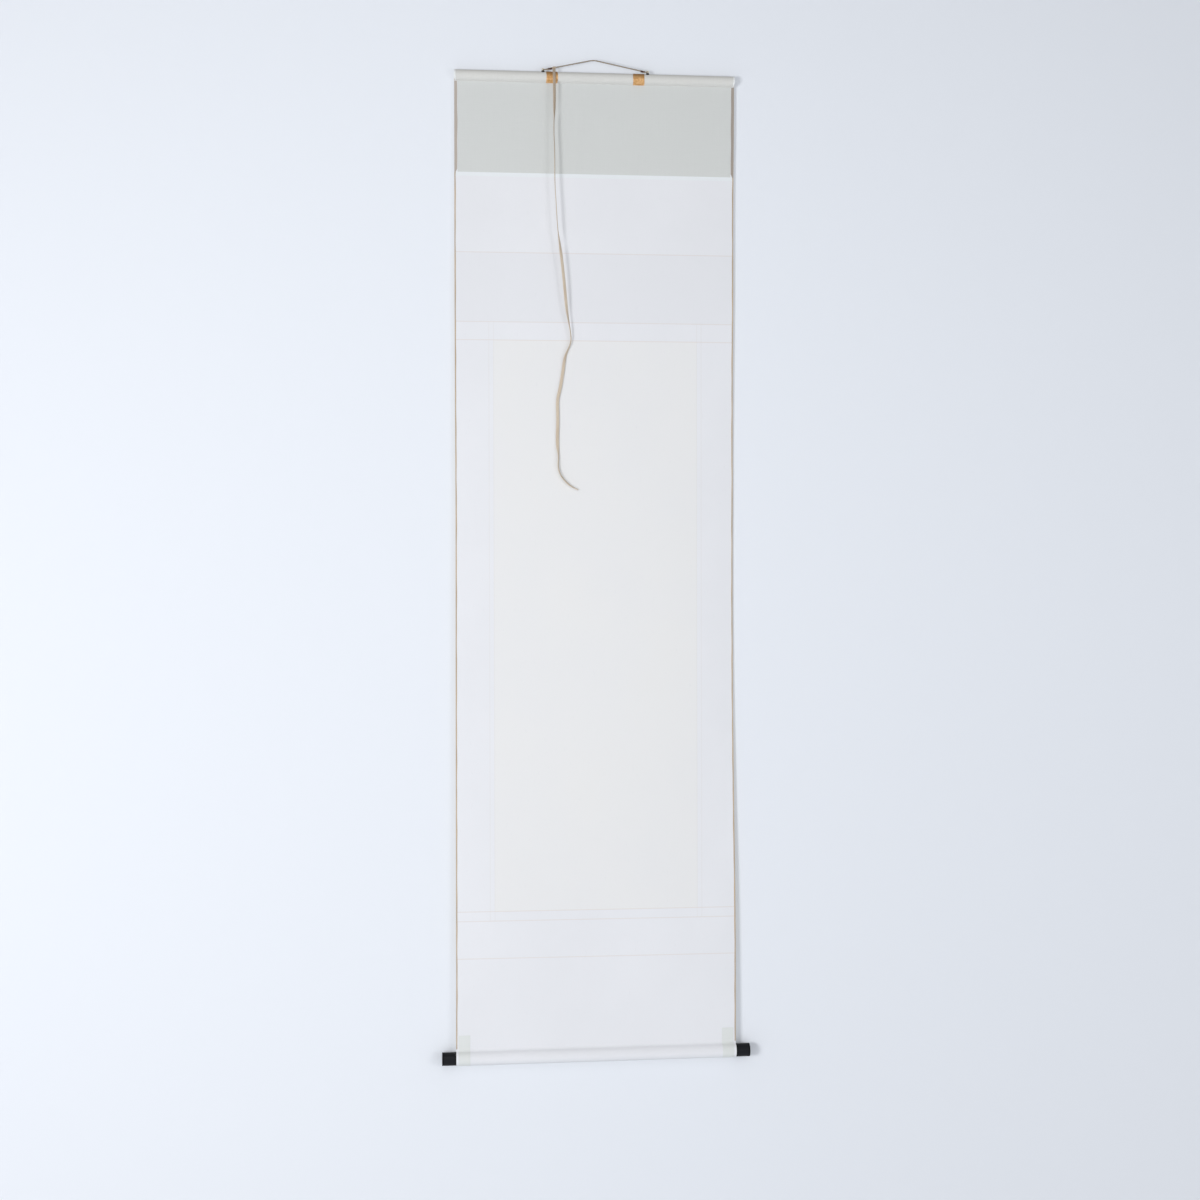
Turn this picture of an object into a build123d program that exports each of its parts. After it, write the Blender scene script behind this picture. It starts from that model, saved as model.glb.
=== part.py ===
from build123d import *
import os
from math import acos, atan2, cos, degrees, hypot, pi, radians, sin, tan

# A hanging scroll: silk mount lined with paper, between a half-round top stave and a round roller.
# Millimetres. +Z is up, the paper back of the scroll faces -Y and its mounted front faces +Y.
# The origin is where the hanging cord bears on its hook, and the plane Y = 0 holds both eyelets.

os.makedirs("parts", exist_ok=True)

# ---------------------------------------------------------------- driving dimensions: the sheet
sheet_width = 545.0
sheet_middle = 4.0          # the sheet's middle line lies this far right of the hook
stave_rise = 22.0           # from the stave's top up to the hook
backing_thickness = 0.35    # the joined lining papers
front_thickness = 0.4       # silk or painting paper with its own lining
layer_gap = 0.05            # paste clearance where a flat and a round surface meet

# heights of the front pieces, from the top of the stave down
upper_field_height = 348.3
upper_border_height = 133.5
upper_band_height = 35.0
panel_height = 1103.7
lower_band_height = 18.5
lower_border_height = 72.5
lower_field_height = 173.0  # down to the top of the roller's pocket
panel_width = 395.0         # painting and bands; the columns fill the rest of the width

# back of the sheet
cover_height = 174.0        # silk panel that becomes the outside when the scroll is rolled
cover_inset = 6.2
cover_thickness = 0.3
hem_width = 2.4             # folded side edge
hem_width_at_cover = 6.0    # the same fold beside the cover silk
hem_thickness = 0.3
strip_width = 22.4          # reinforcement at the lower corners
strip_inset = 4.6
strip_rise = 26.3           # above the top of the roller's pocket
strip_thickness = 0.25
strip_bend = 1.0            # radius of its bend at the top of the pocket
strip_reach = 85.0          # degrees round the roller, below the level of its axis

# ---------------------------------------------------------------- driving dimensions: the stave
stave_height = 19.7
stave_depth = 10.5
stave_flat = 5.0            # Y of the wood's flat face
wrap_thickness = 0.5        # silk wrapped round the stave
stave_inset = 1.0           # the stave stops this far inside each side edge
stave_cap_thickness = 0.5

patch_width = 22.0
patch_offset = 84.0         # from the sheet's middle to the middle of each patch
patch_thickness = 0.3

eyelet_offset = 101.3       # from the sheet's middle to each eyelet
eyelet_ring_radius = 1.9    # to the middle of the wire
eyelet_wire_radius = 0.55
shank_radius = 0.8
shank_length = 13.0         # below the washer's top
shank_clearance = 0.05
washer_radius = 3.2
washer_rise = 0.2           # the washer's top above the top of the stave

# ---------------------------------------------------------------- driving dimensions: the roller
rod_radius = 12.0
roller_wrap = 1.3           # the turns of silk and paper round the rod
pocket_rise = 5.0           # the pocket closes on the sheet this far above the wrapped rod
knob_step = 0.6             # how far the knobs stay inside the wrapped roller's surface
knob_length = 27.6
knob_edge_round = 0.8
knob_groove_inset = 2.6     # from each end to the middle of the groove
knob_groove_width = 0.6
knob_groove_depth = 0.35
tenon_radius = 7.0
tenon_length = 16.0
tenon_clearance = 0.05
tenon_end_gap = 0.5

# ---------------------------------------------------------------- driving dimensions: the cords
hanging_cord_radius = 1.2
hook_radius = 4.0
cord_gap = 0.3              # between a cord's end and what it is tied to
whipping_radius = 2.1
whipping_length = 7.5
left_whipping_reach = 9.8   # from the eyelet to the start of the whipping, along X
right_whipping_reach = 5.4
loop_position = -76.0       # X of the winding cord's loop
loop_width = 6.4
loop_radius = 2.5
winding_cord_radius = 1.5

# ---------------------------------------------------------------- worked out from the above
left_edge = sheet_middle - sheet_width / 2
right_edge = sheet_middle + sheet_width / 2
panel_left = sheet_middle - panel_width / 2
panel_right = sheet_middle + panel_width / 2

stave_top = -stave_rise                                  # top of the wrapped stave
stave_mid = stave_top - wrap_thickness - stave_height / 2
wrapped_half_height = stave_height / 2 + wrap_thickness
wrapped_reach = stave_depth + wrap_thickness
stave_bottom = stave_mid - wrapped_half_height

back_face = stave_flat + wrap_thickness                  # Y of the backing paper's outer face
front_layer = back_face + backing_thickness              # Y where the front pieces start

field_seam = stave_top - upper_field_height
border_seam = field_seam - upper_border_height
panel_top = border_seam - upper_band_height
panel_bottom = panel_top - panel_height
band_seam = panel_bottom - lower_band_height
lower_seam = band_seam - lower_border_height
pocket_top = lower_seam - lower_field_height

# the roller hangs centred under the sheet, inside a pocket whose sides are tangent to it
sheet_thickness = backing_thickness + front_thickness
roller_radius = rod_radius + roller_wrap
knob_radius = roller_radius - knob_step
roller_y = back_face + sheet_thickness / 2
roller_top = pocket_top - pocket_rise
roller_z = roller_top - roller_radius
pocket_height = pocket_top - roller_z
side_angle = atan2(pocket_height, sheet_thickness / 2) - acos(
    roller_radius / hypot(pocket_height, sheet_thickness / 2)
)                                                        # where each side leaves the round, above level

eyelet_z = stave_top + washer_rise + layer_gap + eyelet_ring_radius + eyelet_wire_radius
eyelet_reach = eyelet_ring_radius + eyelet_wire_radius + cord_gap
left_eyelet_x = sheet_middle - eyelet_offset
right_eyelet_x = sheet_middle + eyelet_offset


def save(piece, name):
    """Label one finished piece and write it."""
    piece.part.label = name
    export_step(piece.part, f"parts/{name}.step")


# ---------------------------------------------------------------- flat pieces of the sheet
def flat_piece(name, left, right, top, bottom, y, thickness):
    """A rectangle of paper or silk whose outer face is at y and which is thick towards +Y."""
    with BuildPart() as piece:
        with BuildSketch(Plane.XZ.offset(-y)):
            with Locations(((left + right) / 2, (top + bottom) / 2)):
                Rectangle(right - left, top - bottom)
        extrude(amount=-thickness)
    save(piece, name)


flat_piece("backing_paper", left_edge, right_edge, stave_top, pocket_top, back_face, backing_thickness)

front_pieces = [
    ("upper_field", left_edge, right_edge, stave_top, field_seam),
    ("upper_border", left_edge, right_edge, field_seam, border_seam),
    ("left_column", left_edge, panel_left, border_seam, band_seam),
    ("right_column", panel_right, right_edge, border_seam, band_seam),
    ("upper_band", panel_left, panel_right, border_seam, panel_top),
    ("painting_panel", panel_left, panel_right, panel_top, panel_bottom),
    ("lower_band", panel_left, panel_right, panel_bottom, band_seam),
    ("lower_border", left_edge, right_edge, band_seam, lower_seam),
    ("lower_field", left_edge, right_edge, lower_seam, pocket_top),
]
for name, left, right, top, bottom in front_pieces:
    flat_piece(name, left, right, top, bottom, front_layer, front_thickness)

# the cover silk starts under the lower ends of the patches
cover_top = stave_bottom - patch_thickness - layer_gap
flat_piece(
    "cover_silk",
    left_edge + cover_inset,
    right_edge - cover_inset,
    cover_top,
    cover_top - cover_height,
    back_face - cover_thickness,
    cover_thickness,
)


# ---------------------------------------------------------------- folded side edges
def side_hem(name, edge, inward):
    """The sheet's side edge folded onto its back, wider beside the cover silk."""
    narrow = edge + inward * hem_width
    wide = edge + inward * hem_width_at_cover
    step = cover_top - cover_height
    with BuildPart() as hem:
        with BuildSketch(Plane.XZ.offset(-(back_face - hem_thickness))):
            with BuildLine():
                Polyline(
                    (edge, cover_top),
                    (wide, cover_top),
                    (wide, step),
                    (narrow, step),
                    (narrow, pocket_top),
                    (edge, pocket_top),
                    close=True,
                )
            make_face()
        extrude(amount=-hem_thickness)
    save(hem, name)


side_hem("left_hem", left_edge, 1)
side_hem("right_hem", right_edge, -1)


# ---------------------------------------------------------------- top stave
def stave_section(x, reach, half_height, flat):
    """Half-round section at x: flat towards +Y, a half ellipse towards -Y."""
    with BuildSketch(Plane.YZ.offset(x)) as section:
        with BuildLine():
            EllipticalCenterArc((stave_flat, stave_mid), reach, half_height, 90, arc_size=180)
            Line((stave_flat, stave_mid - half_height), (stave_flat, stave_mid + half_height))
        make_face()
        if flat > stave_flat:
            with Locations(((stave_flat + flat) / 2, stave_mid)):
                Rectangle(flat - stave_flat, 2 * half_height)
    return section.sketch


def bare_section(x):
    """Section of the bare wood."""
    return stave_section(x, stave_depth, stave_height / 2, stave_flat)


def wrapped_section(x, extra=0.0):
    """Section of the wood in its silk wrap, with anything extra laid on the round side."""
    return stave_section(x, wrapped_reach + extra, wrapped_half_height + extra, back_face)


wood_left = left_edge + stave_inset + stave_cap_thickness
wood_right = right_edge - stave_inset - stave_cap_thickness
wood_length = wood_right - wood_left
eyelet_places = [(left_eyelet_x, 0), (right_eyelet_x, 0)]
washer_top = stave_top + washer_rise

with BuildPart() as top_stave:
    extrude(bare_section(wood_left), amount=wood_length)
    with BuildSketch(Plane.XY.offset(washer_top)):
        with Locations(*eyelet_places):
            Circle(shank_radius + shank_clearance)
    extrude(amount=-(shank_length + layer_gap), mode=Mode.SUBTRACT)
save(top_stave, "top_stave")

with BuildPart() as stave_wrap:
    extrude(wrapped_section(wood_left), amount=wood_length)
    extrude(bare_section(wood_left), amount=wood_length, mode=Mode.SUBTRACT)
    with BuildSketch(Plane.XY.offset(washer_top)):
        with Locations(*eyelet_places):
            Circle(shank_radius + shank_clearance)
    extrude(amount=-shank_length, mode=Mode.SUBTRACT)
save(stave_wrap, "stave_wrap")


def stave_cap(name, x):
    """End cover of the stave, the size of its wrapped section."""
    with BuildPart() as cap:
        extrude(wrapped_section(x), amount=stave_cap_thickness)
    save(cap, name)


stave_cap("left_stave_cap", wood_left - stave_cap_thickness)
stave_cap("right_stave_cap", wood_right)


def stave_patch(name, middle):
    """Paper patch wrapped over the round side of the stave."""
    start = middle - patch_width / 2
    with BuildPart() as patch:
        extrude(wrapped_section(start, patch_thickness), amount=patch_width)
        extrude(wrapped_section(start), amount=patch_width, mode=Mode.SUBTRACT)
        with BuildSketch(Plane.XZ.offset(-(back_face - cover_thickness))):
            with Locations((middle, stave_mid)):
                Rectangle(2 * patch_width, 2 * stave_height)
        extrude(amount=-2 * cover_thickness, mode=Mode.SUBTRACT)
    save(patch, name)


stave_patch("left_patch", sheet_middle - patch_offset)
stave_patch("right_patch", sheet_middle + patch_offset)


# ---------------------------------------------------------------- eyelets
def eyelet(side, x):
    """A ring on a shank, and the washer under it, shaped to the round of the stave."""
    with BuildPart() as ring:
        with Locations((x, 0, eyelet_z)):
            Torus(eyelet_ring_radius, eyelet_wire_radius, rotation=(90, 0, 0))
        with BuildSketch(Plane.XY.offset(eyelet_z - eyelet_ring_radius)):
            with Locations((x, 0)):
                Circle(shank_radius)
        extrude(amount=-(shank_length - (washer_top - eyelet_z + eyelet_ring_radius)))
    save(ring, f"{side}_eyelet")

    with BuildPart() as washer:
        with BuildSketch(Plane.XY.offset(washer_top)):
            with Locations((x, 0)):
                Circle(washer_radius)
                Circle(shank_radius + shank_clearance, mode=Mode.SUBTRACT)
        extrude(amount=-wrapped_half_height)
        extrude(wrapped_section(x - washer_radius), amount=2 * washer_radius, mode=Mode.SUBTRACT)
    save(washer, f"{side}_washer")


eyelet("left", left_eyelet_x)
eyelet("right", right_eyelet_x)

# ---------------------------------------------------------------- roller
roller_start = Plane(origin=(left_edge, roller_y, roller_z), x_dir=(0, 1, 0), z_dir=(1, 0, 0))

with BuildPart() as roller_rod:
    with BuildSketch(roller_start):
        Circle(rod_radius)
    extrude(amount=sheet_width)
    with BuildSketch(roller_start.offset(-tenon_length)):
        Circle(tenon_radius)
    extrude(amount=sheet_width + 2 * tenon_length)
save(roller_rod, "roller_rod")

# the wrap runs round the rod and closes above it on both faces of the sheet's lower edge
with BuildPart() as roller_wrap_piece:
    with BuildSketch(roller_start):
        Circle(roller_radius)
        with BuildLine():
            Polyline(
                (roller_radius * cos(side_angle), roller_radius * sin(side_angle)),
                (sheet_thickness / 2, pocket_height),
                (-sheet_thickness / 2, pocket_height),
                (-roller_radius * cos(side_angle), roller_radius * sin(side_angle)),
                close=True,
            )
        make_face()
        Circle(rod_radius + layer_gap, mode=Mode.SUBTRACT)
    extrude(amount=sheet_width)
save(roller_wrap_piece, "roller_wrap")


def knob(name, inner_face, outward):
    """Turned knob glued on the rod's tenon, with a fine groove near each end."""
    seat = Plane(origin=(inner_face, roller_y, roller_z), x_dir=(0, 0, 1), z_dir=(0, outward, 0))
    bore_radius = tenon_radius + tenon_clearance
    bore_depth = tenon_length + tenon_end_gap
    groove_middle = knob_radius - knob_groove_depth / 2
    with BuildPart() as turned:
        with BuildSketch(seat):
            with BuildLine():
                Polyline(
                    (0, bore_depth),
                    (bore_radius, bore_depth),
                    (bore_radius, 0),
                    (knob_radius, 0),
                    (knob_radius, knob_length),
                    (0, knob_length),
                    close=True,
                )
            make_face()
            fillet(vertices().group_by(Axis.X)[-1], knob_edge_round)
            with Locations(
                (groove_middle, knob_groove_inset),
                (groove_middle, knob_length - knob_groove_inset),
            ):
                Rectangle(knob_groove_depth, knob_groove_width, mode=Mode.SUBTRACT)
        revolve(axis=Axis(seat.origin, seat.y_dir))
    save(turned, name)


knob("left_knob", left_edge, -1)
knob("right_knob", right_edge, 1)


# ---------------------------------------------------------------- corner strips
def corner_strip(name, start):
    """Strip pasted down the sheet, over the side of the pocket and round to its underside."""
    half = strip_thickness / 2
    line_y = back_face - half
    line_radius = roller_radius + half
    line_bend = pocket_top + half * tan(side_angle / 2)
    with BuildPart() as strip:
        with BuildSketch(Plane.YZ.offset(start)):
            with BuildLine():
                FilletPolyline(
                    (line_y, pocket_top + strip_rise),
                    (line_y, line_bend),
                    (
                        roller_y - line_radius * cos(side_angle),
                        roller_z + line_radius * sin(side_angle),
                    ),
                    radius=strip_bend,
                )
                CenterArc(
                    (roller_y, roller_z),
                    line_radius,
                    180 - degrees(side_angle),
                    degrees(side_angle) + strip_reach,
                )
            trace(line_width=strip_thickness)
        extrude(amount=strip_width)
    save(strip, name)


corner_strip("left_corner_strip", left_edge + strip_inset)
corner_strip("right_corner_strip", right_edge - strip_inset - strip_width)


# ---------------------------------------------------------------- cords
def corner_radii(points):
    """Radius at each inner point: 0.45 of the shorter run over the tangent of half the turn."""
    radii = []
    for before, at, after in zip(points, points[1:], points[2:]):
        run_in = Vector(*at) - Vector(*before)
        run_out = Vector(*after) - Vector(*at)
        half_turn = radians(run_in.get_angle(run_out)) / 2
        radii.append(0.45 * min(run_in.length, run_out.length) / tan(half_turn))
    return radii


def cord(name, points, radii, radius):
    """Round tube along straight runs joined by tangent arcs."""
    with BuildPart() as tube:
        with BuildLine() as route:
            FilletPolyline(*points, radius=radii)
        with BuildSketch(route.line ^ 0):
            Circle(radius)
        sweep()
    save(tube, name)
    section = pi * radius**2
    length = route.wires()[0].length
    print(f"{name}: {length:.1f} mm long, smallest radius {min(radii):.1f} mm")
    print(f"  volume {tube.part.volume:.1f}, section by length {section * length:.1f}")


# the hanging cord is drawn tight over the hook
hanging_points = [
    (left_eyelet_x + eyelet_reach, 0, eyelet_z),
    (0, 0, hanging_cord_radius + 0.1),
    (right_eyelet_x - eyelet_reach, 0, eyelet_z),
]
cord("hanging_cord", hanging_points, [hook_radius + hanging_cord_radius], hanging_cord_radius)

winding_points = [
    (-76.0, -1.6, -17.7),
    (-76.2, -8.8, -27.5),
    (-75.9, -9.4, -49.0),
    (-75.5, -8.9, -88.0),
    (-77.4, -9.2, -136.0),
    (-75.2, -9.9, -186.0),
    (-75.8, -10.6, -236.0),
    (-72.3, -10.9, -290.0),
    (-70.6, -10.6, -326.0),
    (-63.0, -9.6, -378.0),
    (-57.0, -7.8, -436.0),
    (-52.6, -4.6, -484.0),
    (-45.6, -1.2, -520.0),
    (-43.4, 1.2, -541.0),
    (-49.6, 2.6, -556.0),
    (-56.2, 3.3, -571.0),
    (-60.2, 3.6, -602.0),
    (-65.6, 3.4, -634.0),
    (-71.2, 3.5, -654.0),
    (-69.6, 3.3, -690.0),
    (-71.4, 3.5, -738.0),
    (-67.9, 2.6, -762.0),
    (-70.3, 1.9, -782.0),
    (-65.0, 1.2, -799.5),
    (-54.5, 0.9, -812.5),
    (-43.0, 0.8, -822.0),
    (-31.0, 0.9, -827.6),
]
winding_radii = corner_radii(winding_points)
cord("winding_cord", winding_points, winding_radii, winding_cord_radius)
print("  radii", " ".join(f"{radius:.0f}" for radius in winding_radii))


def leg_plane(end, reach):
    """Plane across one leg of the hanging cord, reach mm along X from its eyelet end."""
    foot = Vector(*hanging_points[end])
    along = (Vector(*hanging_points[1]) - foot).normalized()
    return Plane(origin=foot + along * (reach / abs(along.X)), z_dir=along)


def cord_band(name, plane, outer_radius, length):
    """A band round the hanging cord: whipping thread or the winding cord's stitched loop."""
    with BuildPart() as band:
        with BuildSketch(plane):
            Circle(outer_radius)
            Circle(hanging_cord_radius + layer_gap, mode=Mode.SUBTRACT)
        extrude(amount=length)
    save(band, name)


left_start = left_whipping_reach - eyelet_reach
right_start = right_whipping_reach - eyelet_reach
cord_band("left_whipping", leg_plane(0, left_start), whipping_radius, whipping_length)
cord_band("right_whipping", leg_plane(-1, right_start), whipping_radius, whipping_length)

loop_start = loop_position - loop_width / 2 - hanging_points[0][0]
cord_band("winding_cord_loop", leg_plane(0, loop_start), loop_radius, loop_width)
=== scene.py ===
"""Looks of a hanging scroll, seen from its paper back and hung on its hook.

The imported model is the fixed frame: the sheet, the silks, the wraps, the knobs and the cords are
modelled here in its place, and the wood, the rings and the washers keep their own shapes.
Everything is in metres in the row frame: +Z up, the paper back towards -Y, the front towards +Y.
"""

import logging
import math
from dataclasses import dataclass, field
from enum import Enum
from functools import reduce
from operator import add
from typing import Any, Callable, Sequence

import bpy
import numpy as np
from mathutils import Matrix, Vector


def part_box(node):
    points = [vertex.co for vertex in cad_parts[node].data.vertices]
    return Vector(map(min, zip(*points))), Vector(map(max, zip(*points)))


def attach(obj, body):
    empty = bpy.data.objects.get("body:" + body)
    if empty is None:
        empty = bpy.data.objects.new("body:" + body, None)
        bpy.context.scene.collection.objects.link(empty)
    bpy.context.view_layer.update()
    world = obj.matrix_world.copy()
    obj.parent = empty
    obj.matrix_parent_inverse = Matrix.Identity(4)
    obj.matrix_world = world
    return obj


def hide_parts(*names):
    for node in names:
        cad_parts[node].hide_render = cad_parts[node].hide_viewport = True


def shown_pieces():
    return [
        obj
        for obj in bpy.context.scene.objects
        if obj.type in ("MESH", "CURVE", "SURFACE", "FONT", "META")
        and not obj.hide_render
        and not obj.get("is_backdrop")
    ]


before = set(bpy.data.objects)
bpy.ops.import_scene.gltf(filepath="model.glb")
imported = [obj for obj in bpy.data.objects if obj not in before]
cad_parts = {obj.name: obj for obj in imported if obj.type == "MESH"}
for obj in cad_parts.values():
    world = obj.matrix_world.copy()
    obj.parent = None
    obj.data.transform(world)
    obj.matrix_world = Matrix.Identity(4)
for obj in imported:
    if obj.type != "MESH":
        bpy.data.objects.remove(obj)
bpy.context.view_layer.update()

LOG = logging.getLogger("scroll")
MM = 0.001
TURN = 2 * math.pi
ROOT = "root"

Array = np.ndarray
Colour = tuple[float, float, float]
Object = bpy.types.Object
Material = bpy.types.Material
Pairs = tuple[tuple[float, float], ...]
Point = tuple[float, float, float]
Socket = bpy.types.NodeSocket


class Side(Enum):
    """The two ends of the stave and of the roller."""

    LEFT = -1
    RIGHT = 1

    @property
    def word(self) -> str:
        """The side's name as the CAD nodes spell it."""
        return self.name.lower()

    def pick(self, left: Any, right: Any) -> Any:
        """The one of two things that is for this side."""
        return left if self is Side.LEFT else right


# ------------------------------------------------------------------ shader expressions


class Signal:
    """One shader socket that carries a number, so that sums on it add Math nodes."""

    def __init__(self, maker: "NodeMaker", socket: Socket) -> None:
        """Keep the socket and the maker whose tree it belongs to."""
        self.maker = maker
        self.socket = socket

    def __add__(self, other: Any) -> "Signal":
        """This plus other."""
        return self.maker.math("ADD", self, other)

    __radd__ = __add__

    def __sub__(self, other: Any) -> "Signal":
        """This less other."""
        return self.maker.math("SUBTRACT", self, other)

    def __rsub__(self, other: Any) -> "Signal":
        """Other less this."""
        return self.maker.math("SUBTRACT", other, self)

    def __mul__(self, other: Any) -> "Signal":
        """This times other."""
        return self.maker.math("MULTIPLY", self, other)

    __rmul__ = __mul__

    def __abs__(self) -> "Signal":
        """The size of this without its sign."""
        return self.maker.math("ABSOLUTE", self)

    def wave(self, period: float) -> "Signal":
        """A sine wave of this with that period, from 0 to 1."""
        return self.maker.math("SINE", self * (TURN / period)) * 0.5 + 0.5

    def between(self, low: float, high: float) -> "Signal":
        """0 at low, 1 at high and smooth between them."""
        return self.maker.map_range(self, low, high)

    def near(self, place: float, reach: float, core: float) -> "Signal":
        """1 within core of place, and 0 beyond reach of it."""
        return abs(self - place).between(reach, core)

    def inside(self, low: float, high: float) -> "Signal":
        """1 from low to high, and 0 a millimetre outside them."""
        half = (high - low) / 2
        return self.near((low + high) / 2, half + MM, half)


class NodeMaker:
    """Makes the nodes of one material."""

    def __init__(self, name: str) -> None:
        """Start an empty node material with that name."""
        self.material = bpy.data.materials.new(name)
        self.material.use_nodes = True
        self.tree = self.material.node_tree
        self.tree.nodes.clear()

    def node(
        self,
        kind: str,
        settings: dict[str, Any] | None = None,
        inputs: dict[str | int, Any] | None = None,
    ) -> bpy.types.Node:
        """Add one node.

        Args:
            kind: the node's type name.
            settings: its properties, which are set before its sockets.
            inputs: values, colours, signals or sockets, by the input's name or number.

        Returns:
            The node.
        """
        made = self.tree.nodes.new(kind)
        for key, value in (settings or {}).items():
            setattr(made, key, value)
        for key, value in (inputs or {}).items():
            socket = made.inputs[key]
            if isinstance(value, Signal):
                value = value.socket
            if isinstance(value, Socket):
                self.tree.links.new(value, socket)
            elif socket.type == "RGBA":
                socket.default_value = (*value, 1.0)
            else:
                socket.default_value = value
        return made

    def math(self, operation: str, *values: Any) -> Signal:
        """A Math node on values, which are numbers or signals."""
        made = self.node("ShaderNodeMath", {"operation": operation}, dict(enumerate(values)))
        return Signal(self, made.outputs[0])

    def map_range(self, value: Signal, low: float, high: float) -> Signal:
        """Smooth step of value from low to high."""
        made = self.node(
            "ShaderNodeMapRange",
            {"interpolation_type": "SMOOTHSTEP"},
            {"Value": value, "From Min": low, "From Max": high},
        )
        return Signal(self, made.outputs["Result"])

    def mix(self, factor: Any, first: Any, second: Any) -> Socket:
        """Blend two colours.

        Args:
            factor: 0 gives first and 1 gives second.
            first: a colour or a colour socket.
            second: the same.

        Returns:
            The blended colour's socket.
        """
        settings = {"data_type": "RGBA", "clamp_factor": True}
        made = self.node("ShaderNodeMix", settings, {0: factor, 6: first, 7: second})
        return made.outputs[2]

    def layers(self, base: Any, *coats: tuple[Any, Any]) -> Any:
        """Lay colours over a base one after the other.

        Args:
            base: the lowest colour.
            coats: a mask and a colour for each further one.

        Returns:
            The colour on top.
        """
        for mask, colour in coats:
            base = self.mix(mask, base, colour)
        return base

    def split(self, where: Socket) -> tuple[Socket, Signal, Signal, Signal]:
        """Coordinates, whole and as their three numbers."""
        parts = self.node("ShaderNodeSeparateXYZ", None, {0: where}).outputs
        return where, *(Signal(self, part) for part in parts)

    def place(self) -> tuple[Socket, Signal, Signal, Signal]:
        """The point in the row frame, whole and as X, Y and Z."""
        return self.split(self.node("ShaderNodeTexCoord").outputs["Object"])

    def cloth(self) -> tuple[Socket, Signal, Signal]:
        """The piece's own map in metres, whole, across and along."""
        return self.split(self.node("ShaderNodeUVMap", {"uv_map": "cloth"}).outputs[0])[:3]

    def noise(self, where: Socket, scale: Point, detail: float = 2.0) -> Signal:
        """Noise of about 0.5, finer along an axis whose scale is larger.

        Args:
            where: the coordinates it reads.
            scale: cells in a metre along each axis.
            detail: how many finer layers it has.

        Returns:
            The noise's value.
        """
        mapped = self.node("ShaderNodeMapping", None, {"Vector": where, "Scale": scale})
        inputs = {"Vector": mapped.outputs[0], "Scale": 1.0, "Detail": detail}
        return Signal(self, self.node("ShaderNodeTexNoise", None, inputs).outputs[0])

    def surface(
        self,
        colour: Any,
        roughness: Any,
        bump: tuple[Signal, float, float] | None = None,
        **more: Any,
    ) -> Material:
        """Finish the material with a Principled surface.

        Args:
            colour: its colour or colour socket.
            roughness: a number or a signal.
            bump: a height of 0 to 1, the metres that 1 stands for, and the strength.
            more: further inputs, with _ for each space in their names.

        Returns:
            The material.
        """
        inputs = {"Base Color": colour, "Roughness": roughness}
        inputs.update((key.replace("_", " "), value) for key, value in more.items())
        if bump:
            sockets = dict(zip(("Height", "Distance", "Strength"), bump))
            inputs["Normal"] = self.node("ShaderNodeBump", None, sockets).outputs["Normal"]
        shader = self.node("ShaderNodeBsdfPrincipled", None, inputs)
        self.node("ShaderNodeOutputMaterial", None, {"Surface": shader.outputs[0]})
        return self.material


def shade(colour: Colour, factor: float) -> Colour:
    """A colour made darker or lighter by factor."""
    return tuple(min(1.0, c * factor) for c in colour)


# ------------------------------------------------------------------ finishes


@dataclass(frozen=True)
class BackingPaper:
    """White lining paper with the front's seams showing through it.

    Attributes:
        name: the material's name.
        tone: the paper's colour.
        seams: Z of each seam that runs across.
        laps: X of each lap's edge that runs down.
        lap_span: Z of the laps' lower and upper ends.
        warm_box: X and Z limits of the panel behind, where the paper is warmer.
        cover_edge: Z of the cover silk's lower edge.
        seam_half_width: how far a seam's line reaches to each side.
    """

    name: str
    tone: Colour
    seams: tuple[float, ...]
    laps: tuple[float, ...]
    lap_span: tuple[float, float]
    warm_box: tuple[float, float, float, float]
    cover_edge: float
    seam_half_width: float = 1.5 * MM

    def build(self) -> Material:
        """Make the material: mottling, fibres, seam lines and laps."""
        m = NodeMaker(self.name)
        where, x, _, z = m.place()
        cloud = m.noise(where, (5.0, 5.0, 4.0), 3.0)
        felt = m.noise(where, (140.0, 140.0, 190.0), 3.0)
        fibre = m.noise(where, (1100.0, 900.0, 160.0))
        fleck = m.noise(where, (420.0, 420.0, 90.0), 1.0).between(0.70, 0.78)

        half = self.seam_half_width
        line = reduce(add, (z.near(seam, half, 0.2 * half) for seam in self.seams))
        lap = reduce(add, (x.near(edge, half, 0.3 * half) for edge in self.laps))
        lap = z.inside(*self.lap_span) * lap
        left, right, bottom, top = self.warm_box
        warm = x.inside(left, right) * z.inside(bottom, top)
        border = z.inside(self.seams[1], self.seams[0])
        below_cover = z.near(self.cover_edge - 3.5 * MM, 4.5 * MM, 3 * MM)

        red, green, blue = tone = self.tone
        colour = m.layers(
            m.mix(cloud.between(0.3, 0.7), shade(tone, 0.985), shade(tone, 1.01)),
            (warm * (0.3 + 0.7 * cloud), (red * 1.015, green, blue * 0.95)),
            (border * 0.5, shade(tone, 0.95)),
            (below_cover * 0.35, (0.80, 0.87, 0.88)),
            (fleck * 0.18, shade(tone, 0.86)),
            (line * 0.42, (0.70, 0.62, 0.58)),
            (lap * 0.22, (0.70, 0.68, 0.67)),
        )
        relief = felt * 0.5 + fibre * 0.35 + line * 0.8 + lap * 0.7
        return m.surface(colour, 0.86, (relief, 0.12 * MM, 0.55), Specular_IOR_Level=0.25)


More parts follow.
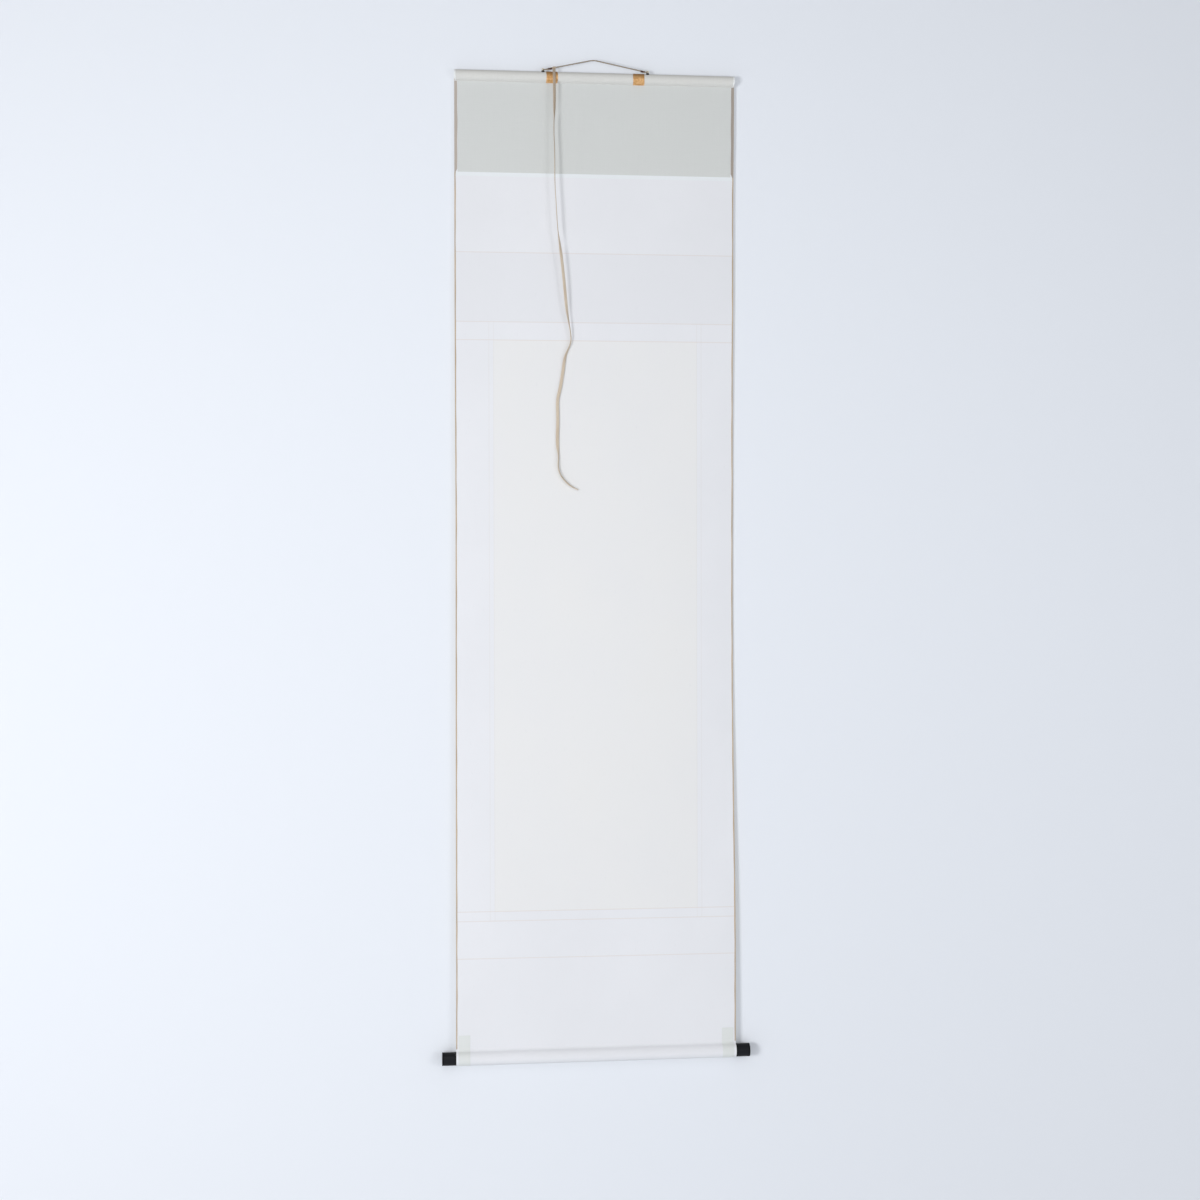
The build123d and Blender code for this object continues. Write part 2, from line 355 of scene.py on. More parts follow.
@dataclass(frozen=True)
class Silk:
    """Woven silk lined with paper: fine warp and weft, slubs and a soft sheen.

    Attributes:
        name: the material's name.
        tone: the colour of its lighter threads.
        depth: how much darker its other threads are.
        thread: the spacing of its threads.
        sheen: the strength of its sheen.
        rib: how strongly every few threads make a rib, for a twill.
    """

    name: str
    tone: Colour
    depth: float = 0.93
    thread: float = 0.7 * MM
    sheen: float = 0.25
    rib: float = 0.0

    def build(self) -> Material:
        """Make the material from the piece's own map, so that the weave follows its folds."""
        m = NodeMaker(self.name)
        where, across, along = m.cloth()
        warp, weft = across.wave(self.thread), along.wave(self.thread)
        weave = warp * (1 - weft) + weft * (1 - warp)
        ribs = (across + along).wave(6 * self.thread)
        slub = m.noise(where, (18.0, 900.0, 1.0))
        streak = m.noise(where, (700.0, 12.0, 1.0))
        cloud = m.noise(where, (7.0, 6.0, 1.0), 3.0)
        threads = weave * 0.35 + slub * 0.35 + streak * 0.3
        colour = m.layers(
            shade(self.tone, self.depth),
            (threads.between(0.2, 0.75), self.tone),
            (ribs * self.rib, shade(self.tone, 0.88)),
            (cloud.between(0.55, 0.85) * 0.25, shade(self.tone, 0.95)),
        )
        return m.surface(
            colour,
            0.62 + 0.2 * (1 - cloud),
            (weave * 0.6 + slub * 0.5 + ribs * self.rib, 0.07 * MM, 0.5),
            Specular_IOR_Level=0.35,
            Sheen_Weight=self.sheen,
            Sheen_Roughness=0.4,
        )


@dataclass(frozen=True)
class PanelPaper:
    """Sized painting paper, blank, with a little age in it."""

    name: str
    tone: Colour

    def build(self) -> Material:
        """Make the material: cloudy toning, long fibres and a few faint flecks."""
        m = NodeMaker(self.name)
        where, _, _ = m.cloth()
        cloud = m.noise(where, (4.0, 3.0, 1.0), 4.0).between(0.3, 0.75)
        fibre = m.noise(where, (260.0, 900.0, 1.0), 3.0)
        fleck = m.noise(where, (520.0, 130.0, 1.0), 1.0).between(0.72, 0.80)
        coats = (cloud, shade(self.tone, 0.95)), (fleck * 0.3, (0.55, 0.47, 0.34))
        colour = m.layers(self.tone, *coats)
        return m.surface(colour, 0.8, (fibre, 0.05 * MM, 0.5), Specular_IOR_Level=0.3)


@dataclass(frozen=True)
class HemSilk:
    """The folded side edge: tan silk, darker where the fold is rubbed.

    Attributes:
        name: the material's name.
        tone: the silk's colour.
        rubbed: its colour where it is rubbed.
        greyed: its colour beside the cover silk, painted darker still on the right side as shade.
        cover_edge: Z of the cover silk's lower edge.
    """

    name: str
    tone: Colour
    rubbed: Colour
    greyed: Colour
    cover_edge: float

    def build(self) -> Material:
        """Make the material: uneven tone along the edge, painted shade on the right hem beside the
        cover, and fine cross threads.
        """
        m = NodeMaker(self.name)
        where, x, _, z = m.place()
        blotch = m.noise(where, (30.0, 30.0, 16.0), 3.0)
        threads = z.wave(0.8 * MM)
        beside = z.between(self.cover_edge - 2 * MM, self.cover_edge)
        # On the right side the grey beside the cover is darkened as painted shade, away from the
        # light.
        grey_and_right_shade = m.mix(x.between(0.0, 50 * MM), self.greyed, shade(self.greyed, 0.72))
        colour = m.layers(
            self.tone,
            (blotch.between(0.35, 0.7) * 0.6, self.rubbed),
            (beside * 0.85, grey_and_right_shade),
            (threads * 0.2, shade(self.tone, 0.8)),
        )
        return m.surface(colour, 0.75, (threads * 0.4 + blotch, 0.06 * MM, 0.5))


@dataclass(frozen=True)
class GoldPaper:
    """Mottled gold-tan paper, with painted shade towards its upper edge."""

    name: str
    light: Colour
    dark: Colour
    rust: Colour

    def build(self) -> Material:
        """Make the material: patches of ochre, gold and brown with a dull gleam, and painted shade
        over the upper part.
        """
        m = NodeMaker(self.name)
        where, _, _, z = m.place()
        patch = m.noise(where, (190.0, 190.0, 190.0), 3.0)
        grain = m.noise(where, (900.0, 900.0, 900.0))
        low, high = (corner.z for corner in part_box("left_patch"))
        # The upper part of each patch is painted darker as shade, where the stave's round turns
        # away from the light.
        upper = z.between(low + 0.30 * (high - low), low + 0.80 * (high - low))
        colour = m.layers(
            self.light,
            (patch.between(0.35, 0.65), self.dark),
            (grain.between(0.5, 0.7) * 0.5, self.rust),
            (upper * 0.9, shade(self.dark, 0.6)),
        )
        bump = (patch + grain * 0.5, 0.12 * MM, 0.7)
        return m.surface(colour, 0.5 + 0.25 * patch, bump, Metallic=0.12)


@dataclass(frozen=True)
class Lacquer:
    """Black lacquer on the knobs, rougher on the rims and painted darker there as a dark
    reflection.

    Attributes:
        name: the material's name.
        tone: the lacquer's colour.
        rims: X of the knob's two ends.
        rim_width: how far the rim, rougher and with its painted dark reflection, reaches from each
            end.
    """

    name: str
    tone: Colour
    rims: tuple[float, float]
    rim_width: float = 2.6 * MM

    def build(self) -> Material:
        """Make the material: gloss coat, fine brushed rings, faint wear and a painted dark
        reflection on the rims.
        """
        m = NodeMaker(self.name)
        where, x, _, _ = m.place()
        middle, half = sum(self.rims) / 2, abs(self.rims[1] - self.rims[0]) / 2
        # The rims are painted much darker as a dark reflection, and also made rougher.
        rim = x.near(middle, half - self.rim_width - 0.2 * MM, half - self.rim_width)
        wear = m.noise(where, (160.0, 160.0, 160.0), 4.0)
        rings = m.noise(where, (1600.0, 30.0, 30.0))
        scuffed = wear.between(0.6, 0.8) * 0.4
        return m.surface(
            m.layers(self.tone, (rim, shade(self.tone, 0.3)), (scuffed, shade(self.tone, 2.2))),
            0.38 + 0.22 * wear + 0.15 * rim,
            (rings * 0.5 + wear * 0.3, 0.03 * MM, 0.4),
            Specular_IOR_Level=0.14,
            Coat_Weight=0.10 - 0.08 * rim,
            Coat_Roughness=0.25,
        )


@dataclass(frozen=True)
class WornMetal:
    """Metal with a thin tarnish.

    Attributes:
        name: the material's name.
        bright: its rubbed colour.
        tarnish: its tarnished colour.
        metallic: how metallic it is.
        roughness: its smoothest roughness.
    """

    name: str
    bright: Colour
    tarnish: Colour
    metallic: float
    roughness: float

    def build(self) -> Material:
        """Make the material: tarnish in patches, with fine scratches."""
        m = NodeMaker(self.name)
        where = m.place()[0]
        patch = m.noise(where, (500.0, 500.0, 500.0), 3.0)
        scratch = m.noise(where, (2400.0, 300.0, 2400.0))
        colour = m.mix(patch.between(0.45, 0.65), self.bright, self.tarnish)
        bump = (scratch, 0.02 * MM, 0.4)
        return m.surface(colour, self.roughness + 0.25 * patch, bump, Metallic=self.metallic)


@dataclass(frozen=True)
class Cedar:
    """Bare cedar, hidden inside its wraps."""

    name: str
    light: Colour
    dark: Colour

    def build(self) -> Material:
        """Make the material: straight grain along X."""
        m = NodeMaker(self.name)
        grain = m.noise(m.place()[0], (4.0, 420.0, 420.0), 4.0)
        colour = m.mix(grain.between(0.4, 0.65), self.light, self.dark)
        return m.surface(colour, 0.7, (grain, 0.05 * MM, 0.5))


@dataclass(frozen=True)
class Plait:
    """Braided or laid cord, with its threads drawn on the cord's own map.

    Attributes:
        name: the material's name.
        light: the colour of the threads on top.
        dark: the colour between them, which paints shade into the grooves.
        pitch: the length of one plait along the cord.
        slant: how far a thread runs along while it crosses the cord's width.
        width: the cord's width, round it for a round cord.
        soiled: from where to where along a braid its darker first stretch fades out; a braid's
            threads also meet at its middle line in chevrons.
    """

    name: str
    light: Colour
    dark: Colour
    pitch: float
    slant: float
    width: float
    soiled: tuple[float, float] | None = None

    def build(self) -> Material:
        """Make the material: slanting threads, painted shade in the groove between them, and fuzz.
        """
        m = NodeMaker(self.name)
        where, across, along = m.cloth()
        lean = abs(across) if self.soiled else across
        ridge = (along + lean * (self.slant / self.width)).wave(self.pitch)
        fuzz = m.noise(where, (2600.0, 900.0, 1.0))
        blotch = m.noise(where, (60.0, 22.0, 1.0)).between(0.4, 0.7)
        # The dark colour between the raised threads is painted shade in the grooves.
        coats = [(ridge.between(0.15, 0.6), self.light), (blotch * 0.35, shade(self.dark, 1.15))]
        # The braid is made darker along its first stretch, near its top.
        if self.soiled:
            past_darker_stretch = abs(along).between(*self.soiled)
            coats.append(((1 - past_darker_stretch) * 0.72, shade(self.dark, 0.85)))
        return m.surface(
            m.layers(self.dark, *coats, (fuzz * 0.3, shade(self.light, 0.8))),
            0.82,
            (ridge + fuzz * 0.35, 0.35 * MM, 0.8),
            Sheen_Weight=0.1,
            Sheen_Roughness=0.5,
        )


class Finishes:
    """Every material of the scroll, made once and kept by its name."""

    def __init__(self, plan: "Plan") -> None:
        """Build all the materials.

        Args:
            plan: the sizes that their patterns follow.
        """
        lap_edges = tuple(
            edge + outward * reach
            for edge, outward in ((plan.panel_left, -1), (plan.panel_right, 1))
            for reach in (0.0, plan.lap_width)
        )
        panel = (plan.panel_left, plan.panel_right, plan.panel_bottom, plan.panel_top)
        finishes = [
            BackingPaper(
                "backing_paper",
                (0.79, 0.795, 0.827),
                plan.seams,
                lap_edges,
                (plan.band_seam, plan.border_seam),
                panel,
                plan.cover_bottom,
            ),
            Silk("ground_silk", (0.685, 0.68, 0.655)),
            Silk("border_silk", (0.66, 0.62, 0.52), 0.9, 0.8 * MM, 0.35, 0.25),
            Silk("band_silk", (0.50, 0.41, 0.26), 0.82, 0.7 * MM, 0.4, 0.15),
            Silk("cover_silk", (0.655, 0.668, 0.655), 0.95, 0.7 * MM, 0.2),
            Silk("strip_silk", (0.74, 0.76, 0.75), 0.95, 0.7 * MM, 0.15),
            PanelPaper("painting_paper", (0.84, 0.80, 0.70)),
            PanelPaper("cap_paper", (0.85, 0.87, 0.87)),
            HemSilk(
                "hem_silk",
                (0.54, 0.41, 0.28),
                (0.36, 0.28, 0.20),
                (0.46, 0.42, 0.39),
                plan.cover_bottom,
            ),
            GoldPaper("gold_paper", (0.80, 0.49, 0.23), (0.56, 0.29, 0.09), (0.46, 0.20, 0.08)),
            WornMetal("washer_iron", (0.05, 0.045, 0.04), (0.012, 0.012, 0.014), 0.5, 0.4),
            WornMetal("eyelet_brass", (0.80, 0.66, 0.36), (0.36, 0.26, 0.12), 1.0, 0.28),
            Cedar("stave_wood", (0.66, 0.48, 0.30), (0.48, 0.32, 0.18)),
        ]
        cords = {
            "hanging_cord": ((0.42, 0.36, 0.28), (0.17, 0.13, 0.10), 2.4, 7.0, 7.5),
            "whipping_thread": ((0.15, 0.06, 0.035), (0.04, 0.015, 0.01), 0.8, 0.2, 9.0),
            "winding_braid": ((0.83, 0.73, 0.59), (0.42, 0.31, 0.22), 3.2, 3.4, 3.0),
        }
        for name, (light, dark, *sizes) in cords.items():
            soiled = (0.10, 0.26) if name == "winding_braid" else None
            finishes.append(Plait(name, light, dark, *(s * MM for s in sizes), soiled))
        for side in Side:
            ends = tuple(corner.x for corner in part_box(f"{side.word}_knob"))
            finishes.append(Lacquer(f"black_lacquer_{side.word}", (0.008, 0.0085, 0.011), ends))
        self.made = {finish.name: finish.build() for finish in finishes}

    def dress(self, piece: Object, slot: str, material: str | None = None) -> None:
        """Give a piece its material, named by the slot unless another is given.

        Args:
            piece: the piece, new or a CAD node.
            slot: its material slot.
            material: the material's name where it isn't the slot's.
        """
        piece.data.materials.clear()
        piece.data.materials.append(self.made[material or slot])

    def fit(self, piece: Object, slot: str, *nodes: str, material: str | None = None) -> Object:
        """Dress a new piece and put it on the frame.

        Args:
            piece: the piece.
            slot: its material slot.
            nodes: the CAD nodes whose place it takes.
            material: the material's name where it isn't the slot's.

        Returns:
            The piece.
        """
        self.dress(piece, slot, material)
        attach(piece, ROOT)
        if nodes:
            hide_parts(*nodes)
        return piece


# ------------------------------------------------------------------ surfaces


def step(t: Array) -> Array:
    """0 below 0, 1 above 1 and 3t^2 - 2t^3 between."""
    t = np.clip(t, 0.0, 1.0)
    return t * t * (3.0 - 2.0 * t)


def lengths(line: Array) -> Array:
    """How far along a line each of its points lies."""
    gaps = np.linalg.norm(np.diff(line, axis=0), axis=1)
    return np.concatenate([[0.0], np.cumsum(gaps)])


def directions(angles: Array) -> Array:
    """The cosine and the sine of each angle, side by side."""
    return np.stack([np.cos(angles), np.sin(angles)], axis=-1)


def circle(around: int) -> Array:
    """That many angles spaced evenly round a circle, in radians."""
    return np.arange(around) * (TURN / around)


def points_of(x: Array, y: Array, z: Array) -> Array:
    """X, Y and Z put together as they are, as one array."""
    return np.stack([x, y, z], axis=-1)


def mesh_piece(
    name: str,
    vertices: Array,
    faces: Sequence[Sequence[int]],
    cloth: Array,
    sharp: float = 40.0,
) -> Object:
    """Put arrays into a mesh object.

    Args:
        name: the piece's name.
        vertices: one row of X, Y, Z for each vertex.
        faces: vertex numbers of each face.
        cloth: one row of across, along in metres for each vertex.
        sharp: the angle in degrees past which an edge stays sharp.

    Returns:
        The object, at the origin.
    """
    mesh = bpy.data.meshes.new(name)
    mesh.from_pydata(np.asarray(vertices, float).tolist(), [], [list(f) for f in faces])
    mesh.update()
    corner = np.zeros(len(mesh.loops), np.int32)
    mesh.loops.foreach_get("vertex_index", corner)
    layer = mesh.uv_layers.new(name="cloth")
    layer.data.foreach_set("uv", np.asarray(cloth, np.float32)[corner].ravel())
    mesh.polygons.foreach_set("use_smooth", np.ones(len(mesh.polygons), bool))
    mesh.set_sharp_from_angle(angle=math.radians(sharp))
    piece = bpy.data.objects.new(name, mesh)
    bpy.context.scene.collection.objects.link(piece)
    return piece


def closed_sheet(name: str, outer: Array, inner: Array, cloth: Array) -> Object:
    """A thin closed solid between two grids of points, with a rim all round.

    Rows run along the sheet and columns towards +X, so that the outer grid's faces look along
    the cross product of the two.

    Args:
        name: the piece's name.
        outer: rows by columns of points on the face that looks outwards.
        inner: the same for the other face.
        cloth: rows by columns of the cloth's own coordinates.

    Returns:
        The object.
    """
    rows, columns = outer.shape[:2]
    count = rows * columns
    index = np.arange(count).reshape(rows, columns)
    faces = np.stack(
        [index[:-1, :-1], index[1:, :-1], index[1:, 1:], index[:-1, 1:]], axis=-1
    ).reshape(-1, 4)
    ring = np.concatenate([index[0, :-1], index[:-1, -1], index[-1, :0:-1], index[:0:-1, 0]])
    after = np.roll(ring, -1)
    rim = np.stack([ring, after, after + count, ring + count], axis=-1)
    both = np.concatenate([faces, faces[:, ::-1] + count, rim])
    points = np.concatenate([outer.reshape(-1, 3), inner.reshape(-1, 3)])
    return mesh_piece(name, points, both, np.tile(cloth.reshape(-1, 2), (2, 1)))


def ribbon(
    name: str,
    section: tuple[Array, Array],
    lifts: tuple[Any, Any],
    x: Array,
    cloth: tuple[Array, Array],
    bend: Callable[[Array, Array, Array], Array] = points_of,
    order: int = 1,
) -> Object:
    """A closed sheet whose section is a line in Y and Z, carried across X.

    Its two faces are that line moved along its normals by the two lifts.

    Args:
        name: the piece's name.
        section: rows of Y, Z and rows of their outward normals.
        lifts: how far the outer and the inner face stand off the line.
        x: X of its columns, or of every point.
        cloth: the cloth's coordinate across and, for each row, the one along.
        bend: makes points from X, Y and Z.
        order: -1 takes the rows from the far end, which turns the faces over.

    Returns:
        The object.
    """
    path, normal = section
    faces = []
    for lift in lifts:
        y, z = (path + normal * lift).T[:, :, None]
        faces.append(bend(*np.broadcast_arrays(x, y, z))[::order])
    across, along = np.broadcast_arrays(cloth[0], cloth[1].reshape(-1, 1))
    return closed_sheet(name, *faces, np.stack([across, along], axis=-1)[::order])


def loft(
    name: str, rings: Array, cloth: Array, sharp: float = 60.0, flipped: bool = False
) -> Object:
    """A closed solid from rings of points, each joined to the next, with flat ends.

    Args:
        name: the piece's name.
        rings: rings by points round them.
        cloth: the cloth's coordinates of each point.
        sharp: the angle in degrees past which an edge stays sharp.
        flipped: whether every face is turned over.

    Returns:
        The object.
    """
    count, around = rings.shape[:2]
    index = np.arange(count * around).reshape(count, around)
    beside = np.roll(index, -1, axis=1)
    walls = np.stack([index[:-1], beside[:-1], beside[1:], index[1:]], axis=-1)
    faces = walls.reshape(-1, 4).tolist() + [index[0, ::-1].tolist(), index[-1].tolist()]
    if flipped:
        faces = [face[::-1] for face in faces]
    return mesh_piece(name, rings.reshape(-1, 3), faces, cloth.reshape(-1, 2), sharp)


def swept_piece(
    name: str,
    line: Array,
    outline: Array,
    reference: Point = (0.0, 1.0, 0.0),
    twist: Array | float = 0.0,
) -> Object:
    """A closed solid with a changing outline carried along a line.

    Each ring is the outline drawn on the two directions across the line: one is the cross
    product of the line's direction and the reference, the other is across both.

    Args:
        name: the piece's name.
        line: the points down its middle.
        outline: for each point of the line, a ring of offsets in those two directions.
        reference: a direction that the line never takes.
        twist: how far each ring is turned about the line, in radians.

    Returns:
        The object, with the way round and the length along as its map.
    """
    count, around = outline.shape[:2]
    along = np.gradient(line, axis=0)
    along /= np.linalg.norm(along, axis=1, keepdims=True)
    first = np.cross(along, np.asarray(reference, float))
    first /= np.linalg.norm(first, axis=1, keepdims=True)
    second = np.cross(first, along)
    turn = np.broadcast_to(np.asarray(twist, float), (count,))[:, None]
    side = np.cos(turn) * first + np.sin(turn) * second
    up = np.cos(turn) * second - np.sin(turn) * first
    rings = line[:, None] + outline[..., :1] * side[:, None] + outline[..., 1:] * up[:, None]
    distance = np.broadcast_to(lengths(line)[:, None], (count, around))
    return loft(name, rings, np.stack([outline[..., 0], distance], axis=-1))


def spline_line(points: Sequence[Point], spacing: float) -> Array:
    """Points along the smooth line that has those control points.

    Args:
        points: the control points, in metres.
        spacing: about how far apart the points returned are.

    Returns:
        One row of X, Y, Z for each point.
    """
    curve = bpy.data.curves.new("route", "CURVE")
    curve.dimensions = "3D"
    curve.resolution_u = 16
    spline = curve.splines.new("NURBS")
    spline.points.add(len(points) - 1)
    spline.points.foreach_set("co", [value for p in points for value in (*p, 1.0)])
    spline.order_u = 3
    spline.use_endpoint_u = True
    carrier = bpy.data.objects.new("route", curve)
    mesh = bpy.data.meshes.new_from_object(carrier)
    line = np.zeros(len(mesh.vertices) * 3)
    mesh.vertices.foreach_get("co", line)
    line = line.reshape(-1, 3)
    bpy.data.objects.remove(carrier)
    bpy.data.curves.remove(curve)
    bpy.data.meshes.remove(mesh)
    gone = lengths(line)
    at = np.linspace(0.0, gone[-1], max(8, round(gone[-1] / spacing)) + 1)
    return np.stack([np.interp(at, gone, line[:, axis]) for axis in range(3)], axis=1)


def round_outline(radii: Array, around: int) -> Array:
    """Rings of the given radii.

    Args:
        radii: one radius for each ring, or rings by points round them.
        around: how many points a ring has.

    Returns:
        Rings by points by two offsets.
    """
    sized = radii if radii.ndim == 2 else radii[:, None]
    return sized[..., None] * directions(circle(around))


# ------------------------------------------------------------------ plan and drape


@dataclass(frozen=True)
class Plan:
    """Where the CAD pieces lie, read from the frame, in metres."""

    left: float
    right: float
    top: float
    bottom: float
    back: float
    front: float
    middle_layer: float
    panel_left: float
    panel_right: float
    panel_top: float
    panel_bottom: float
    field_seam: float
    border_seam: float
    band_seam: float
    lower_seam: float
    cover_bottom: float
    stave_middle: float
    stave_half: float
    stave_back: float
    roller_y: float
    roller_z: float
    roller_radius: float
    lap_width: float = 9 * MM

    @classmethod
    def read(cls) -> "Plan":
        """Take every size from the boxes of the CAD nodes."""
        low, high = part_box("backing_paper")
        panel_low, panel_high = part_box("painting_panel")
        stave_low, stave_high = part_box("stave_wrap")
        wrap_low, wrap_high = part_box("roller_wrap")
        radius = (wrap_high.y - wrap_low.y) / 2
        return cls(
            left=low.x,
            right=high.x,
            top=high.z,
            bottom=low.z,
            back=low.y,
            front=panel_high.y,
            middle_layer=high.y,
            panel_left=panel_low.x,
            panel_right=panel_high.x,
            panel_top=panel_high.z,
            panel_bottom=panel_low.z,
            field_seam=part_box("upper_field")[0].z,
            border_seam=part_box("upper_border")[0].z,
            band_seam=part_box("lower_band")[0].z,
            lower_seam=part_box("lower_border")[0].z,
            cover_bottom=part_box("cover_silk")[0].z,
            stave_middle=(stave_low.z + stave_high.z) / 2,
            stave_half=(stave_high.z - stave_low.z) / 2,
            stave_back=stave_low.y,
            roller_y=wrap_low.y + radius,
            roller_z=wrap_low.z + radius,
            roller_radius=radius,
        )

    @property
    def seams(self) -> tuple[float, ...]:
        """Z of each seam that shows through the paper."""
        above = (self.field_seam, self.border_seam, self.panel_top)
        return (*above, self.panel_bottom, self.band_seam, self.lower_seam)

    @property
    def middle(self) -> float:
        """X of the sheet's middle line."""
        return (self.left + self.right) / 2

    @property
    def width(self) -> float:
        """The sheet's width."""
        return self.right - self.left

    def shares(self, x: Array, z: Array) -> tuple[Array, Array]:
        """How far across, -1 to 1, and how far down to the roller's axis, 0 to 1."""
        across = (x - self.middle) / (self.width / 2)
        return across, (self.top - z) / (self.top - self.roller_z)


@dataclass(frozen=True)
class Drape:
    """How the hanging sheet leaves its flat plane.

    Attributes:
        plan: where the sheet lies.
        right_waist: how far the right edge comes in at its waist.
        left_waist: how far the left edge comes in.
        waist_height: how far down the sheet the waist is, as a share.
        right_recede: how far the right edge swings back at most.
        recede_height: how far down the sheet it does so.
        cockle: the height of the ripples under the stave.
        billow: the height of the slow waves down the sheet.
        lean: how far the roller's right end is up and its left end down.
        left_run: share of the way down, and how far the left edge lies towards +X there.
        right_run: the same for the right edge.
    """

    plan: Plan
    right_waist: float = 3.6 * MM
    left_waist: float = 0.6 * MM
    waist_height: float = 0.44
    right_recede: float = 7.5 * MM
    recede_height: float = 0.52
    cockle: float = 0.5 * MM
    billow: float = 0.9 * MM
    lean: float = 1.0 * MM
    left_run: Pairs = (
        (0.00, 1.0), (0.05, 0.9), (0.12, 0.8), (0.20, 0.4), (0.35, 0.4), (0.45, 0.8),
        (0.60, 0.3), (0.80, 0.2), (0.92, 0.0), (0.97, -0.5), (1.00, -0.4),
    )
    right_run: Pairs = (
        (0.00, -0.8), (0.06, -1.1), (0.10, -1.5), (0.15, -1.7), (0.23, -0.95), (0.30, -0.8),
        (0.35, -0.4), (0.43, 0.4), (0.53, -0.45), (0.64, -1.5), (0.74, -1.1), (0.84, 0.6),
        (0.90, 0.85), (0.95, 0.6), (1.00, 0.3),
    )

    def bend(self, x: Array, z: Array) -> tuple[Array, Array]:
        """Where a flat point goes.

        The edges come in by a bell-shaped amount down the sheet, which grows with the square
        of the distance from the middle. Depth is a lower bell on the right side, which grows
        with the cube of that distance, slow waves down the sheet, and ripples across that die
        away below the stave and above the roller. On top of that each edge has its own small
        unevenness, read off its table.

        Args:
            x: flat X of each point.
            z: flat Z of each point.

        Returns:
            The new X, and how far the point moves towards +Y.
        """
        across, down = self.plan.shares(x, z)
        held = step((down - 0.02) / 0.10) * step((0.985 - down) / 0.08)
        bell = np.exp(-(((down - self.waist_height) / 0.24) ** 2)) * held
        right = np.clip(across, 0.0, 1.1) ** 2
        left = np.clip(-across, 0.0, 1.1) ** 2
        moved = x - self.right_waist * bell * right + self.left_waist * bell * left
        for share, table in ((left, self.left_run), (right, self.right_run)):
            place, shift = np.array(table).T
            moved = moved + share * np.interp(down, place, shift) * MM
        deep = np.exp(-(((down - self.recede_height) / 0.28) ** 2)) * held
        depth = self.right_recede * deep * np.clip(across, 0.0, 1.1) ** 3
        wave = 0.55 + 0.45 * np.sin(9.4 * down + 1.3 * across + 0.4)
        depth = depth + self.billow * held * wave
        near_stave = np.exp(-down / 0.10)
        near_roller = np.exp(-(1.0 - down) / 0.05)
        ripple = np.sin(17.0 * across + 0.8) + 0.6 * np.sin(29.0 * across + 2.1)
        depth = depth + self.cockle * held * near_stave * (1.0 + ripple) * 0.6
        depth = depth + self.cockle * held * near_roller * (1.0 + np.sin(12.0 * across)) * 0.5
        return moved, depth

    def points(self, x: Array, y: Array | float, z: Array) -> Array:
        """Flat points X, Y, Z after the drape, as one array.

        A point goes up by the roller's lean, which fades out up the sheet.

        Args:
            x: flat X of each point.
            y: flat Y of each point, or of them all.
            z: flat Z of each point.

        Returns:
            The points, with X, Y and Z in the last place.
        """
        moved, depth = self.bend(x, z)
        across, down = self.plan.shares(x, z)
        rise = self.lean * across * step((down - 0.7) / 0.3)
        return points_of(moved, y + depth, z + rise)


@dataclass
class Part:
    """A part of the scroll, with what every part is made from."""

    plan: Plan
    drape: Drape
    finishes: Finishes

    @property
    def columns(self) -> Array:
        """X of the columns of a piece as wide as the sheet."""
        return np.linspace(self.plan.left, self.plan.right, 51)

    def hang(self, piece: Object, flat: tuple[float, float], on: str, **more: Any) -> None:
        """Take a sheet that hangs, and do nothing with it.

        Args:
            piece: the sheet; not used.
            flat: its width and height when flat; not used.
            on: the node that it rests on; not used.
            more: further words; not used.
        """


# ------------------------------------------------------------------ the sheet


